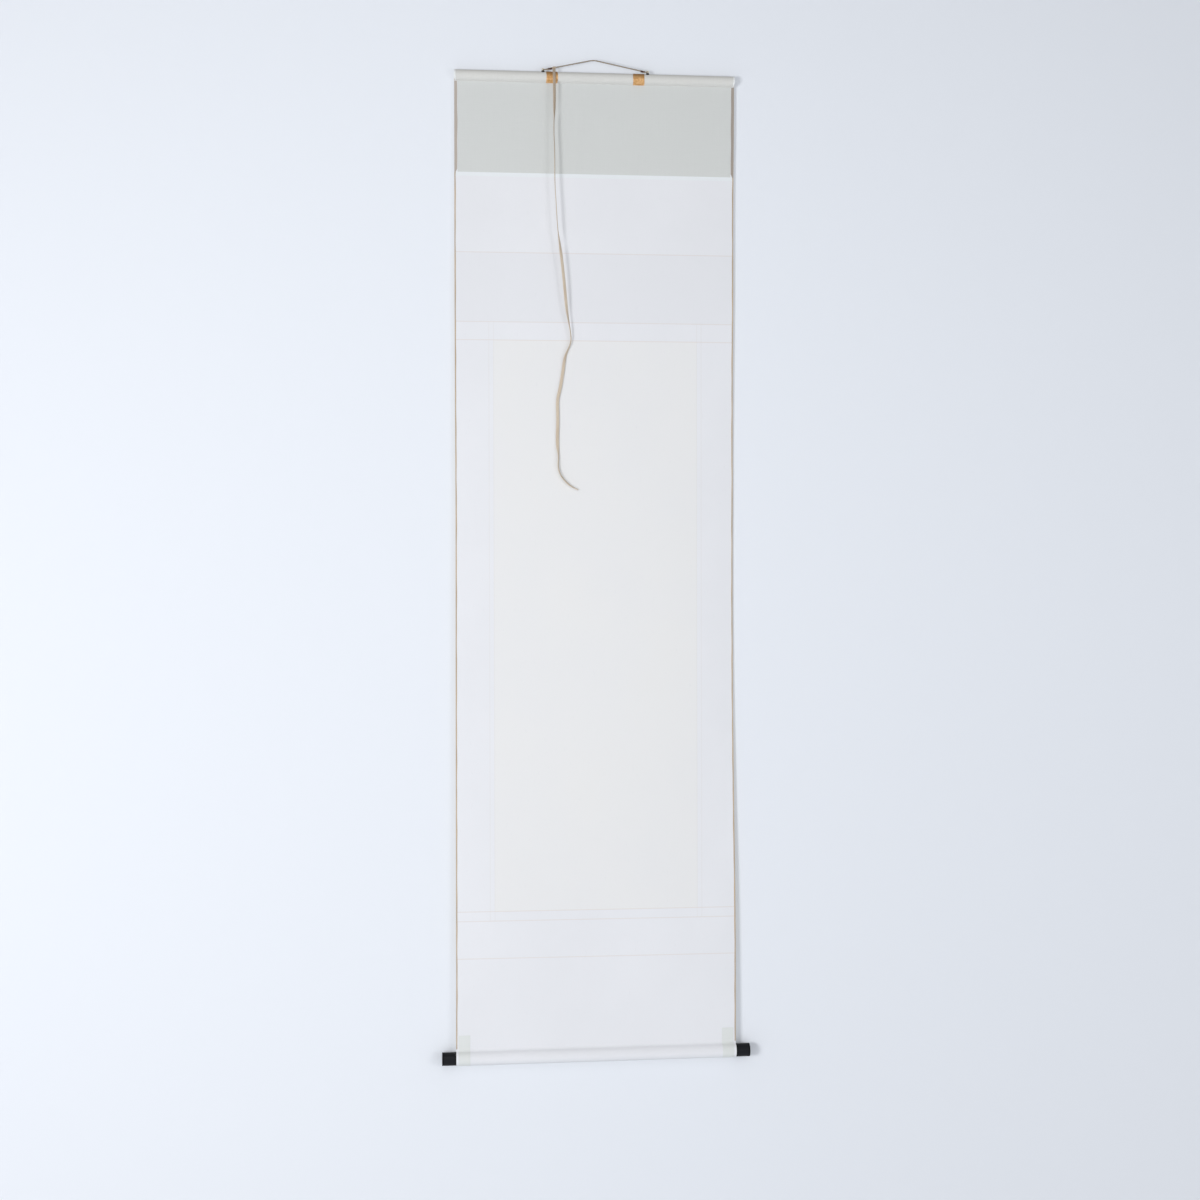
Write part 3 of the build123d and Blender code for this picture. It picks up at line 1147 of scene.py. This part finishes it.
@dataclass
class Sheet(Part):
    """The lined sheet: backing paper, front pieces, cover silk, hems and corner strips."""

    cell: float = 11 * MM
    cover_cell: float = 6 * MM
    trim: dict[str, Object] = field(default_factory=dict)

    def slab(self, name: str, x: Array, z: Array, depths: tuple[float, float]) -> Object:
        """A draped layer of paper or silk.

        Args:
            name: the piece's name.
            x: flat X of each point, rows from top to bottom and columns towards +X.
            z: flat Z of each point.
            depths: Y of its back face and of its front face when flat.

        Returns:
            The piece.
        """
        outer, inner = (self.drape.points(x, depth, z) for depth in depths)
        return closed_sheet(name, outer, inner, np.stack([x, z], axis=-1))

    def layer(self, node: str, slot: str, cell: float) -> tuple[Object, tuple[float, float]]:
        """A draped rectangle in the place of a CAD node.

        Args:
            node: the CAD node.
            slot: its material slot.
            cell: the size of the grid's cells.

        Returns:
            The piece, and its flat width and height.
        """
        low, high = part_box(node)
        flat = (high.x - low.x, high.z - low.z)
        columns, rows = (max(2, round(size / cell)) + 1 for size in flat)
        x, z = np.meshgrid(np.linspace(low.x, high.x, columns), np.linspace(high.z, low.z, rows))
        piece = self.slab(node, x, z, (low.y, high.y))
        return self.finishes.fit(piece, slot, node), flat

    def build_layers(self) -> None:
        """The front's pieces, then the silk that is outside when the scroll is rolled."""
        slots = {
            "upper_border": "border_silk",
            "lower_border": "border_silk",
            "left_column": "border_silk",
            "right_column": "border_silk",
            "upper_band": "band_silk",
            "lower_band": "band_silk",
            "painting_panel": "painting_paper",
            "cover_silk": "cover_silk",
        }
        for node, slot in slots.items():
            cell = self.cover_cell if node == "cover_silk" else self.cell
            piece, flat = self.layer(node, slot, cell)
            self.hang(piece, flat, "backing_paper")

    def build_hems(self) -> None:
        """The side edges folded onto the back, wide beside the cover silk and narrow below.

        The fold's inner edge is at a width that steps down past the cover's lower edge, with a
        small unevenness of two sine waves.
        """
        plan = self.plan
        narrow, rows, columns = 2.2 * MM, 300, 5
        for side in Side:
            name = f"{side.word}_hem"
            low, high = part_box(name)
            z = np.linspace(high.z, low.z, rows)[:, None] * np.ones(columns)
            wide = (high.x - low.x) - 0.4 * MM
            width = narrow + (wide - narrow) * step((z - plan.cover_bottom) / (2 * MM) + 0.5)
            width = width + 0.18 * MM * (np.sin(41.0 * z) + np.sin(97.0 * z + 1.0))
            share = np.linspace(*side.pick((0.0, 1.0), (1.0, 0.0)), columns)
            x = side.pick(plan.left, plan.right) - side.value * width * share
            piece = self.slab(name, x, z, (low.y, high.y))
            self.trim[name] = self.finishes.fit(piece, "hem_silk", name)

    def build_strips(self, roller: "Roller") -> None:
        """The pale strips that run down the sheet and round the roller pocket.

        Args:
            roller: the roller whose pocket they follow.
        """
        lifts = (0.32 * MM, 0.05 * MM)
        for side in Side:
            name = f"{side.word}_corner_strip"
            low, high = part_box(name)
            section = roller.pocket_path(-1.0, high.z, -85.0)
            x = np.linspace(low.x, high.x, 9)
            cloth = (x, -lengths(section[0]))
            piece = ribbon(name, section, lifts, x, cloth, self.drape.points)
            self.trim[name] = self.finishes.fit(piece, "strip_silk", name)

    def build(self, roller: "Roller") -> None:
        """Make the whole sheet, its backing first and its trim after.

        Args:
            roller: the roller at its foot.
        """
        backing, flat = self.layer("backing_paper", "backing_paper", self.cell)
        self.build_layers()
        self.build_hems()
        self.build_strips(roller)
        on_it = [self.trim[f"{s.word}_{what}"] for s in Side for what in ("hem", "corner_strip")]
        self.hang(backing, flat, "top_stave", with_pieces=on_it)


# ------------------------------------------------------------------ the stave


@dataclass
class Stave(Part):
    """The top stave in its silk, with caps, gold patches, rings and washers."""

    flat_wall: float = 0.5 * MM

    @property
    def centre(self) -> tuple[float, float]:
        """Y and Z of the middle of the half-round section."""
        return self.plan.back - self.flat_wall, self.plan.stave_middle

    def round_side(self, angles: Array, lift: float) -> tuple[Array, Array]:
        """Points and normals on the half ellipse of the wrap's round side.

        An angle of 90 degrees is the top and 270 the bottom; 180 is the back.

        Args:
            angles: where they lie, in radians.
            lift: how far they stand off the wrap.

        Returns:
            Rows of Y, Z and rows of their outward normals.
        """
        sizes = np.array([self.centre[0] - self.plan.stave_back, self.plan.stave_half])
        normal = directions(angles) / sizes
        normal /= np.linalg.norm(normal, axis=-1, keepdims=True)
        return directions(angles) * sizes + normal * lift + np.array(self.centre), normal

    def back_side(self) -> tuple[Array, Array]:
        """The line of the wrap down its back: the round, then a skirt pasted to the sheet.

        The skirt is a cubic curve with four points: it leaves the round along the round's own
        direction and lands straight down on the cover silk just below the stave.

        Returns:
            Forty rows of Y, Z and rows of their outward normals.
        """
        plan = self.plan
        curve, normal = self.round_side(np.radians(np.linspace(96.0, 240.0, 32)), 0.0)
        start = curve[-1]
        ahead = np.array([-normal[-1, 1], normal[-1, 0]])
        land = np.array([plan.back - 0.72 * MM, plan.stave_middle - plan.stave_half - 0.8 * MM])
        t = np.linspace(0.0, 1.0, 9)[1:, None]
        skirt = (
            start * (1 - t) ** 3
            + (start + 3.0 * MM * ahead) * 3 * t * (1 - t) ** 2
            + (land + [0.0, 0.8 * MM]) * 3 * t**2 * (1 - t)
            + land * t**3
        )
        way = np.gradient(np.concatenate([[start], skirt]), axis=0)[1:]
        way /= np.linalg.norm(way, axis=-1, keepdims=True)
        turned = np.stack([way[:, 1], -way[:, 0]], axis=-1)
        return np.concatenate([curve, skirt]), np.concatenate([normal, turned])

    def build_wrap(self) -> Object:
        """The upper field's silk, up the front, over the top and round the back of the stave.

        The profile is a straight run up the front, a quarter turn of small radius over the
        stave's front corner, and the line down the back.

        Returns:
            The piece.
        """
        plan = self.plan
        corner, cap, up_rows, turn_rows = 1.0 * MM, 1.3 * MM, 34, 6
        up = np.linspace(plan.field_seam, plan.top - corner, up_rows)
        run = np.stack([np.full(up_rows, plan.front), up], axis=-1)
        over = directions(np.linspace(0.0, math.pi / 2, turn_rows + 1)[1:])
        middle = np.array([plan.front - corner, plan.top - corner])
        back, back_normal = self.back_side()
        path = np.concatenate([run, middle + corner * over, back])
        normal = np.concatenate([np.tile([1.0, 0.0], (up_rows, 1)), over, back_normal])
        drawn_in = step(np.linspace(0.0, 1.0, turn_rows))
        narrow = np.concatenate([np.zeros(up_rows), drawn_in, np.ones(len(back))])
        shrink = 1.0 - narrow[:, None] * cap / (plan.width / 2)
        wide = plan.middle + (self.columns - plan.middle) * shrink
        lifts = (0.0, plan.middle_layer - plan.front)
        cloth = (self.columns, lengths(path))
        piece = ribbon("upper_field", (path, normal), lifts, wide, cloth, self.drape.points)
        return self.finishes.fit(piece, "ground_silk", "upper_field", "stave_wrap")

    def build_caps(self) -> None:
        """Paper caps on the stave's ends, each with a narrow lip over the silk.

        A cap is a stack of sections along X: the wrap's own section a little larger along the
        lip, drawn in over a rounded edge to a point in the middle of the end.
        """
        plan = self.plan
        lip, flat_points, sunk = 2.6 * MM, 10, 0.02 * MM
        inwards = np.array([lip, lip - 0.2 * MM, 0.5 * MM, 0.12 * MM, 0.0, 0.0])
        lifts = np.array([0.02, 0.16, 0.16, 0.06, -0.35, -4.5]) * MM
        angles = np.linspace(math.radians(90.0), math.radians(270.0), 33)
        for side in Side:
            name = f"{side.word}_stave_cap"
            low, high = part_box(name)
            rings = []
            for inward, lift in zip(inwards, lifts):
                curve, _ = self.round_side(angles, lift)
                flat_z = np.linspace(curve[-1, 1], curve[0, 1], flat_points + 2)[1:-1]
                back = np.stack([np.full(flat_points, plan.back - sunk), flat_z], axis=-1)
                ring = np.concatenate([curve, back])
                tuck = 1.4 * MM * step((plan.stave_middle - ring[:, 1]) / plan.stave_half - 0.25)
                inset = inward + tuck * (1.0 if inward < lip / 2 else 0.6)
                x = side.pick(low.x, high.x) - side.value * inset
                rings.append(np.column_stack([x, ring]))
            grid = np.stack(rings)
            piece = loft(name, grid, grid[..., 1:], 40.0, flipped=side is Side.LEFT)
            self.finishes.fit(piece, "cap_paper", name)

    def build_patches(self) -> list[Object]:
        """Gold paper patches over the round of the stave.

        Each follows the line of the wrap's back, lifted a paper's thickness, with edges that
        wander by a sine of the way down.

        Returns:
            The two patches.
        """
        patches = []
        section = self.back_side()
        down = np.linspace(0.0, 1.0, len(section[0]))
        for side in Side:
            name = f"{side.word}_patch"
            low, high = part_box(name)
            wander = 0.45 * MM * np.sin(6.6 * down[:, None] + 2.0 * side.value)
            x = low.x + (high.x - low.x) * np.linspace(0.0, 1.0, 13) + wander
            piece = ribbon(name, section, (0.30 * MM, 0.03 * MM), x, (x, 0.036 * down))
            patches.append(self.finishes.fit(piece, "gold_paper", name))
        return patches

    def build(self) -> None:
        """Make every part of the stave and dress its wood, rings and washers."""
        plan = self.plan
        wrap = self.build_wrap()
        self.build_caps()
        patches = self.build_patches()
        self.finishes.dress(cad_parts["top_stave"], "stave_wood")
        for side in Side:
            self.finishes.dress(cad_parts[f"{side.word}_eyelet"], "eyelet_brass")
            self.finishes.dress(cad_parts[f"{side.word}_washer"], "washer_iron")
        around = math.pi * (plan.stave_half + self.centre[0] - plan.stave_back) / 2
        flat = (plan.width, plan.top - plan.field_seam + around)
        self.hang(wrap, flat, "top_stave", with_pieces=patches)


# ------------------------------------------------------------------ the roller


@dataclass
class Roller(Part):
    """The roller in its pocket at the foot of the sheet, with a lacquered knob at each end."""

    hollow: float = 6 * MM
    wall: float = 1.1 * MM

    def pocket_path(self, facing: float, top: float, stop: float) -> tuple[Array, Array]:
        """One side of the pocket: down the sheet's face, out onto the round and under it.

        The sheet and the round are joined by an arc that is tangent to both. Its middle is one
        arc radius out from the face, and as far from the roller's axis as the two radii
        together.

        Args:
            facing: -1.0 for the side on the back, 1.0 for the one on the front.
            top: the Z where it starts.
            stop: where it ends on the round, in degrees above the level of the axis.

        Returns:
            Rows of Y, Z and rows of their outward normals.
        """
        plan = self.plan
        run_rows = 17
        half = (plan.front - plan.back) / 2
        centre = np.array([half + self.hollow, 0.0])
        centre[1] = math.sqrt((plan.roller_radius + self.hollow) ** 2 - centre[0] ** 2)
        meets = math.atan2(centre[1], centre[0])
        down = np.linspace(top - plan.roller_z, centre[1], run_rows + 1)[:-1]
        run = np.stack([np.full(run_rows, half), down], axis=-1)
        inside = directions(math.pi + np.linspace(0.0, meets, 13))
        outward = directions(np.linspace(meets, math.radians(stop), 44)[1:])
        path = np.concatenate([run, centre + self.hollow * inside, plan.roller_radius * outward])
        normal = np.concatenate([np.tile([1.0, 0.0], (run_rows, 1)), -inside, outward])
        mirror = np.array([facing, 1.0])
        return path * mirror + [plan.roller_y, plan.roller_z], normal * mirror

    def build_side(self, name: str, facing: float, top: float, thin: float, slot: str) -> None:
        """One side of the pocket as a piece of its own, which thickens round the roller.

        Args:
            name: the CAD node whose place it takes.
            facing: -1.0 for the back, 1.0 for the front.
            top: the Z where it starts.
            thin: its thickness where it lies on the sheet.
            slot: its material slot.
        """
        plan = self.plan
        section = self.pocket_path(facing, top, -90.0)
        gone = lengths(section[0])
        on_round = step((plan.bottom - section[0][:, 1:]) / (4 * MM))
        lifts = (0.0, -(thin + (self.wall - thin) * on_round))
        order = -1 if facing > 0.0 else 1
        cloth = (self.columns, top - gone)
        piece = ribbon(name, section, lifts, self.columns, cloth, self.drape.points, order)
        self.finishes.fit(piece, slot, name)
        self.hang(piece, (plan.width, float(gone[-1])), "roller_rod")

    def build_knobs(self) -> None:
        """Turned knobs: a profile of radius against length, carried round the roller's axis.

        The profile has a rounded edge at both ends and a fine groove inside each.
        """
        plan = self.plan
        around = circle(72)
        edge, groove, deep = 0.8 * MM, 2.6 * MM, 0.4 * MM
        quarter = np.linspace(0.0, math.pi / 2, 7)[1:]
        for side in Side:
            name = f"{side.word}_knob"
            low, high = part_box(name)
            length, radius = high.x - low.x, (high.z - low.z) / 2
            rounded = [edge - edge * np.cos(quarter), radius - edge + edge * np.sin(quarter)]
            half_profile = np.concatenate(
                [
                    [[0.0, 0.6 * radius], [0.0, radius - edge]],
                    np.stack(rounded, axis=-1),
                    [
                        [groove - 0.35 * MM, radius],
                        [groove - 0.2 * MM, radius - deep],
                        [groove + 0.2 * MM, radius - deep],
                        [groove + 0.35 * MM, radius - 0.05 * MM],
                        [groove + 2.5 * MM, radius - 0.12 * MM],
                    ],
                ]
            )
            far_half = half_profile[::-1] * [-1.0, 1.0] + [length, 0.0]
            along, radii = np.concatenate([half_profile, far_half]).T[:, :, None]
            x = side.pick(high.x, low.x) + side.value * along
            y = plan.roller_y + radii * np.cos(around)
            z = plan.roller_z + side.value * self.drape.lean + radii * np.sin(around)
            cloth = np.stack(np.broadcast_arrays(radius * around, along), axis=-1)
            rings = points_of(*np.broadcast_arrays(x, y, z))
            piece = loft(name, rings, cloth, 35.0, flipped=side is Side.LEFT)
            material = f"black_lacquer_{side.word}"
            self.finishes.fit(piece, "black_lacquer", name, material=material)

    def build(self) -> None:
        """Make both sides of the pocket and the knobs, and dress the rod inside."""
        plan = self.plan
        silk, paper = plan.front - plan.middle_layer, plan.middle_layer - plan.back
        self.build_side("lower_field", 1.0, plan.lower_seam, silk, "ground_silk")
        self.build_side("roller_wrap", -1.0, plan.bottom, paper, "backing_paper")
        self.build_knobs()
        self.finishes.dress(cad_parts["roller_rod"], "stave_wood")


# ------------------------------------------------------------------ the cords


@dataclass
class Cords:
    """The hanging cord drawn tight over its hook, and the winding cord that hangs from it.

    Attributes:
        finishes: the materials.
        hanging_diameter: how thick the hanging cord is.
        braid_width: how wide the winding cord is.
        braid_thickness: how thick it is.
        plait: the length of one of its plaits.
        hanging_route: control points from the left eyelet over the hook to the right one.
        winding_route: control points down the winding cord.
        winding_turns: Z, and how many degrees the braid is turned there from facing the back.
    """

    finishes: Finishes
    hanging_diameter: float = 2.4 * MM
    braid_width: float = 6.0 * MM
    braid_thickness: float = 1.3 * MM
    plait: float = 3.2 * MM
    hanging_route: tuple[Point, ...] = (
        (-0.09455, 0.0, -0.0193), (-0.0141, 0.0, -0.00177), (0.0, 0.0, 0.0013),
        (0.0141, 0.0, -0.00154), (0.10255, 0.0, -0.0193),
    )
    winding_route: tuple[Point, ...] = (
        (-0.0760, -0.0016, -0.0177), (-0.0762, -0.0088, -0.0275), (-0.0759, -0.0094, -0.0490),
        (-0.0755, -0.0089, -0.0880), (-0.0774, -0.0092, -0.1360), (-0.0752, -0.0099, -0.1860),
        (-0.0758, -0.0106, -0.2360), (-0.0723, -0.0109, -0.2900), (-0.0706, -0.0106, -0.3260),
        (-0.0630, -0.0096, -0.3780), (-0.0570, -0.0078, -0.4360), (-0.0526, -0.0046, -0.4840),
        (-0.0456, -0.0012, -0.5200), (-0.0434, 0.0012, -0.5410), (-0.0496, 0.0026, -0.5560),
        (-0.0562, 0.0033, -0.5710), (-0.0602, 0.0036, -0.6020), (-0.0656, 0.0034, -0.6340),
        (-0.0712, 0.0035, -0.6540), (-0.0696, 0.0033, -0.6900), (-0.0714, 0.0035, -0.7380),
        (-0.0679, 0.0026, -0.7620), (-0.0703, 0.0019, -0.7820), (-0.0650, 0.0012, -0.7995),
        (-0.0545, 0.0009, -0.8125), (-0.0430, 0.0008, -0.8220), (-0.0310, 0.0009, -0.8276),
    )
    winding_turns: Pairs = (
        (-0.018, 20.0), (-0.090, 35.0), (-0.115, 78.0), (-0.330, 80.0), (-0.375, 25.0),
        (-0.470, 20.0), (-0.510, 70.0), (-0.556, 68.0), (-0.585, 8.0), (-0.740, 5.0),
        (-0.762, 72.0), (-0.800, 66.0), (-0.830, 50.0),
    )

    def leg(self, side: Side) -> tuple[Array, Array]:
        """Where one leg of the hanging cord lies.

        Args:
            side: which leg.

        Returns:
            Its eyelet end and the direction up it.
        """
        end = np.array(side.pick(self.hanging_route[0], self.hanging_route[-1]))
        along = np.array(self.hanging_route[2]) - end
        return end, along / np.linalg.norm(along)

    def build_hanging(self) -> tuple[Object, Array]:
        """The hanging cord: two strands laid together, a ring with two soft lobes that turn.

        Returns:
            The piece and the points down its middle.
        """
        spacing, around, lay = 0.6 * MM, 14, 5.0 * MM
        line = spline_line(self.hanging_route, spacing)
        gone = np.arange(len(line))[:, None] * spacing
        lobes = 1.0 + 0.10 * np.cos(2.0 * (circle(around) - gone * (TURN / lay)))
        outline = round_outline(0.47 * self.hanging_diameter * lobes, around)
        piece = swept_piece("hanging_cord", line, outline)
        return self.finishes.fit(piece, "hanging_cord", "hanging_cord"), line

    def build_ties(self) -> list[Object]:
        """At each eyelet, the cord's doubled end through the ring and the thread that binds it.

        The doubled end is a thin tube along a line from the binding, through the ring and back.
        The binding is a row of round turns: its radius is a circle's arc repeated along it.

        Returns:
            The four pieces.
        """
        made = []
        turns, points_a_turn = 9, 8
        under, towards = np.array([0.0, 0.0, -1.5 * MM]), np.array([0.0, -MM, 0.0])
        for side in Side:
            end, along = self.leg(side)
            low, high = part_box(f"{side.word}_whipping")
            first = end + along * abs(side.pick(low.x, high.x) - end[0]) / abs(along[0])
            reach = (high.x - low.x) / abs(along[0])
            ring_x = sum(corner.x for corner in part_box(f"{side.word}_eyelet")) / 2
            inward = np.array([-side.value * MM, 0.0, 0.0])
            hole = np.array([ring_x, 0.0, end[2]]) + 0.3 * inward
            route = [
                first + along * 0.6 * reach + under * 0.6 + towards * 0.7,
                first + along * 0.1 * reach + under + towards * 0.9,
                end + along * 3.0 * MM + under * 0.8 + towards * 1.5,
                end + towards * 1.9,
                hole + towards * 1.9 + 0.4 * inward,
                hole + towards * 0.3,
                hole - towards * 1.5 + 0.6 * inward,
                end - towards * 1.4 + along * 1.0 * MM,
                end - towards * 0.4 + along * 5.0 * MM,
            ]
            line = spline_line([tuple(p) for p in route], 0.4 * MM)
            tube = round_outline(np.full(len(line), 0.85 * MM), 12)
            tail = swept_piece(f"{side.word}_cord_end", line, tube, (0.0, 0.0, 1.0))
            self.finishes.fit(tail, "hanging_cord")

            share = np.linspace(0.0, 1.0, turns * points_a_turn + 1)
            radii = 1.55 * MM + 0.45 * MM * np.abs(np.sin(math.pi * turns * share))
            bound = first + under * 0.25 + along * (share * reach)[:, None]
            name = f"{side.word}_whipping"
            thread = swept_piece(name, bound, round_outline(radii, 20))
            made += [tail, self.finishes.fit(thread, "whipping_thread", name)]
        return made

    def braid_outline(self, widths: Array, thick: Array) -> Array:
        """Flat rounded rings, wide in the first direction.

        A circle's cosine and sine are raised to powers below one, which squares it up.

        Args:
            widths: how wide each ring is.
            thick: how thick each ring is.

        Returns:
            Rings by points by two offsets.
        """
        round_ring = directions(circle(24))
        flat = np.sign(round_ring) * np.abs(round_ring) ** [0.6, 0.7]
        return flat * np.stack([widths / 2, thick / 2], axis=-1)[:, None, :]

    def build_winding(self) -> tuple[Object, Array]:
        """The winding cord: a flat braid that turns edge-on and back as it hangs.

        Returns:
            The piece and the points down its middle.
        """
        spacing, blend, bare_end = 0.8 * MM, 20, 30 * MM
        line = spline_line(self.winding_route, spacing)
        gone = lengths(line)
        heights, turns = np.array(self.winding_turns)[::-1].T
        twist = np.radians(np.interp(line[:, 2], heights, turns))
        soft = np.hanning(2 * blend + 1)
        twist = np.convolve(np.pad(twist, blend, mode="edge"), soft / soft.sum(), mode="valid")
        tail = 0.45 + 0.55 * step((gone[-1] - gone) / bare_end)
        plaits = 1.0 + 0.035 * np.sin(gone * (TURN / self.plait))
        widths = self.braid_width * tail * plaits
        outline = self.braid_outline(widths, self.braid_thickness * plaits)
        piece = swept_piece("winding_cord", line, outline, twist=twist)
        return self.finishes.fit(piece, "winding_braid", "winding_cord"), line

    def build_loop(self) -> Object:
        """The braid's own end, folded round the hanging cord and stitched.

        It is a band round the leg: each ring along the leg has a radius that dips at the
        band's edges and between its plaits.

        Returns:
            The piece.
        """
        name = "winding_cord_loop"
        low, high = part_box(name)
        end, along = self.leg(Side.LEFT)
        reach = (high.x - low.x) / along[0]
        start = end + along * (low.x - end[0]) / along[0]
        rings, around, inner, swell, folds = 33, 28, 1.45 * MM, 0.85 * MM, 9.0
        share = np.linspace(0.0, 1.0, rings)[:, None]
        edge = 1.0 - np.abs(2.0 * share - 1.0) ** 6
        radii = inner + swell * edge * (1.0 + 0.10 * np.sin(folds * circle(around)))
        line = start + along * (share * reach)
        piece = swept_piece(name, line, round_outline(radii, around))
        return self.finishes.fit(piece, "winding_braid", name)

    def build(self) -> None:
        hanging, path = self.build_hanging()
        self.build_ties()
        winding, path = self.build_winding()
        self.build_loop()


# ------------------------------------------------------------------ the studio


def facing(backward: Array) -> Matrix:
    """A turn that makes +Z look one way and keeps +Y as near up as it can be.

    Args:
        backward: the direction for +Z.

    Returns:
        The turn.
    """
    out = backward / np.linalg.norm(backward)
    right = np.cross([0.0, 0.0, 1.0], out)
    right /= np.linalg.norm(right)
    return Matrix(np.column_stack([right, np.cross(out, right), out]).tolist())


@dataclass(frozen=True)
class Lamp:
    """A soft square light that shines at the middle of the scroll."""

    name: str
    place: Point
    power: float
    size: float
    colour: Colour = (1.0, 1.0, 1.0)

    def build(self, target: Point) -> None:
        """Make the light and turn it to a point.

        Args:
            target: the point that it shines at.
        """
        light = bpy.data.lights.new(self.name, "AREA")
        light.shape = "SQUARE"
        light.size = self.size
        light.energy = self.power
        light.color = self.colour
        lamp = bpy.data.objects.new(self.name, light)
        bpy.context.scene.collection.objects.link(lamp)
        lamp.location = self.place
        lamp.rotation_euler = facing(np.array(self.place) - np.array(target)).to_euler()
        lamp.visible_camera = False


@dataclass(frozen=True)
class Studio:
    """Camera, floor, wall, sky and lights.

    Attributes:
        camera_place: where the camera stands.
        yaw: how many degrees it is turned to its left.
        pitch: how many degrees it looks up.
        roll: how many degrees it is rolled.
        lens: its focal length in millimetres.
        wall_at: Z and Y of the wall at the roller's height and at the stave's.
        wall_half_width: how far the wall reaches to each side.
        wall_top: Z of its upper edge.
        floor_level: Z of the floor.
        floor_half: how far the floor reaches in each direction.
        lamps: the lights.
    """

    camera_place: Point = (-0.2776, -3.1471, -1.0078)
    yaw: float = -5.239
    pitch: float = -0.595
    roll: float = 0.115
    lens: float = 48.94
    wall_at: Pairs = ((-1.927, 0.0212), (-0.03, 0.0120))
    wall_half_width: float = 1.9
    wall_top: float = 0.7
    floor_level: float = -2.36
    floor_half: float = 14.0
    lamps: tuple[Lamp, ...] = (
        Lamp("key", (-2.5, -3.1, -1.2), 68.0, 1.0),
        Lamp("fill", (2.5, -3.2, -1.4), 20.5, 1.2),
        Lamp("upper", (-0.1, -2.2, -0.2), 6.5, 1.3, (0.95, 0.98, 1.0)),
        Lamp("front_left", (-2.2, 3.0, 0.4), 50.0, 1.6),
        Lamp("front_right", (2.4, 2.6, -0.6), 30.0, 1.6),
    )

    def build_camera(self) -> None:
        """Place the camera in front of the paper back, a little left of it."""
        yaw, pitch, roll = (math.radians(a) for a in (self.yaw, self.pitch, self.roll))
        turn = Matrix.Rotation(yaw, 3, "Z") @ Matrix.Rotation(pitch, 3, "X")
        turn = turn @ Matrix.Rotation(roll, 3, "Y") @ Matrix.Rotation(math.pi / 2, 3, "X")
        data = bpy.data.cameras.new("camera")
        data.lens = self.lens
        data.sensor_width = 36.0
        data.clip_end = 60.0
        camera = bpy.data.objects.new("camera", data)
        camera.location = self.camera_place
        camera.rotation_euler = turn.to_euler()
        bpy.context.scene.collection.objects.link(camera)
        bpy.context.scene.camera = camera

    def board(self, name: str, half: float, near: Pairs, material: Material) -> Object:
        """One flat board of the stage.

        Args:
            name: its name.
            half: how far it reaches to each side.
            near: Y and Z of its first edge, then of the edge across from it.
            material: its material.

        Returns:
            The piece.
        """
        (y, z), (far_y, far_z) = near
        corners = [(-half, y, z), (half, y, z), (half, far_y, far_z), (-half, far_y, far_z)]
        piece = mesh_piece(name, np.array(corners), [range(4)], np.zeros((4, 2)))
        piece.data.materials.append(material)
        piece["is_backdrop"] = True
        return piece

    def wall_line(self, z: float) -> float:
        """The wall's slant: the scroll's top leans nearer to it than its foot.

        Args:
            z: a height.

        Returns:
            Y of the wall at that height.
        """
        low, high = self.wall_at
        share = (z - low[0]) / (high[0] - low[0])
        return low[1] + (high[1] - low[1]) * share

    def build_stage(self) -> None:
        """A pale floor below the scroll and a pale wall close behind it.

        The wall shows from its own front only, so that the scroll can be looked at from
        behind too, and it neither lights nor shades the scroll.
        """
        half, level, top = self.floor_half, self.floor_level, self.wall_top
        floor_paint = NodeMaker("pale_floor").surface((0.80, 0.83, 0.87), 0.8)
        self.board("floor", half, ((-half, level), (half, level)), floor_paint)
        m = NodeMaker("pale_wall")
        settings = {"Color": (0.825, 0.848, 0.893), "Roughness": 0.5}
        paint = m.node("ShaderNodeBsdfDiffuse", None, settings).outputs[0]
        clear = m.node("ShaderNodeBsdfTransparent").outputs[0]
        behind = m.node("ShaderNodeNewGeometry").outputs["Backfacing"]
        both = m.node("ShaderNodeMixShader", None, {0: behind, 1: paint, 2: clear})
        m.node("ShaderNodeOutputMaterial", None, {"Surface": both.outputs[0]})
        edges = ((self.wall_line(level), level), (self.wall_line(top), top))
        wall = self.board("wall", self.wall_half_width, edges, m.material)
        wall.visible_shadow = False
        wall.visible_diffuse = False
        wall.visible_glossy = False

    def build_sky(self) -> None:
        """An even pale light from all round."""
        world = bpy.data.worlds.new("sky")
        world.use_nodes = True
        background = world.node_tree.nodes["Background"]
        background.inputs["Color"].default_value = (0.97, 0.98, 0.99, 1.0)
        background.inputs["Strength"].default_value = 0.42
        bpy.context.scene.world = world
        bpy.context.scene.view_settings.view_transform = "Standard"

    def build(self, target: Point) -> None:
        """Set the whole studio up.

        Args:
            target: the point that the lamps shine at.
        """
        self.build_camera()
        self.build_stage()
        self.build_sky()
        for lamp in self.lamps:
            lamp.build(target)


def main() -> None:
    """Build the studio, then each part of the scroll in order."""
    logging.basicConfig(level=logging.INFO, format="%(name)s: %(message)s")
    plan = Plan.read()
    Studio().build((plan.middle, 0.0, (plan.top + plan.bottom) / 2))
    finishes = Finishes(plan)
    parts = (plan, Drape(plan), finishes)
    Cords(finishes).build()
    roller = Roller(*parts)
    Sheet(*parts).build(roller)
    Stave(*parts).build()
    roller.build()
    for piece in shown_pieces():
        LOG.info("%s: %d faces", piece.name, len(piece.data.polygons))


if __name__ == "__main__":
    main()
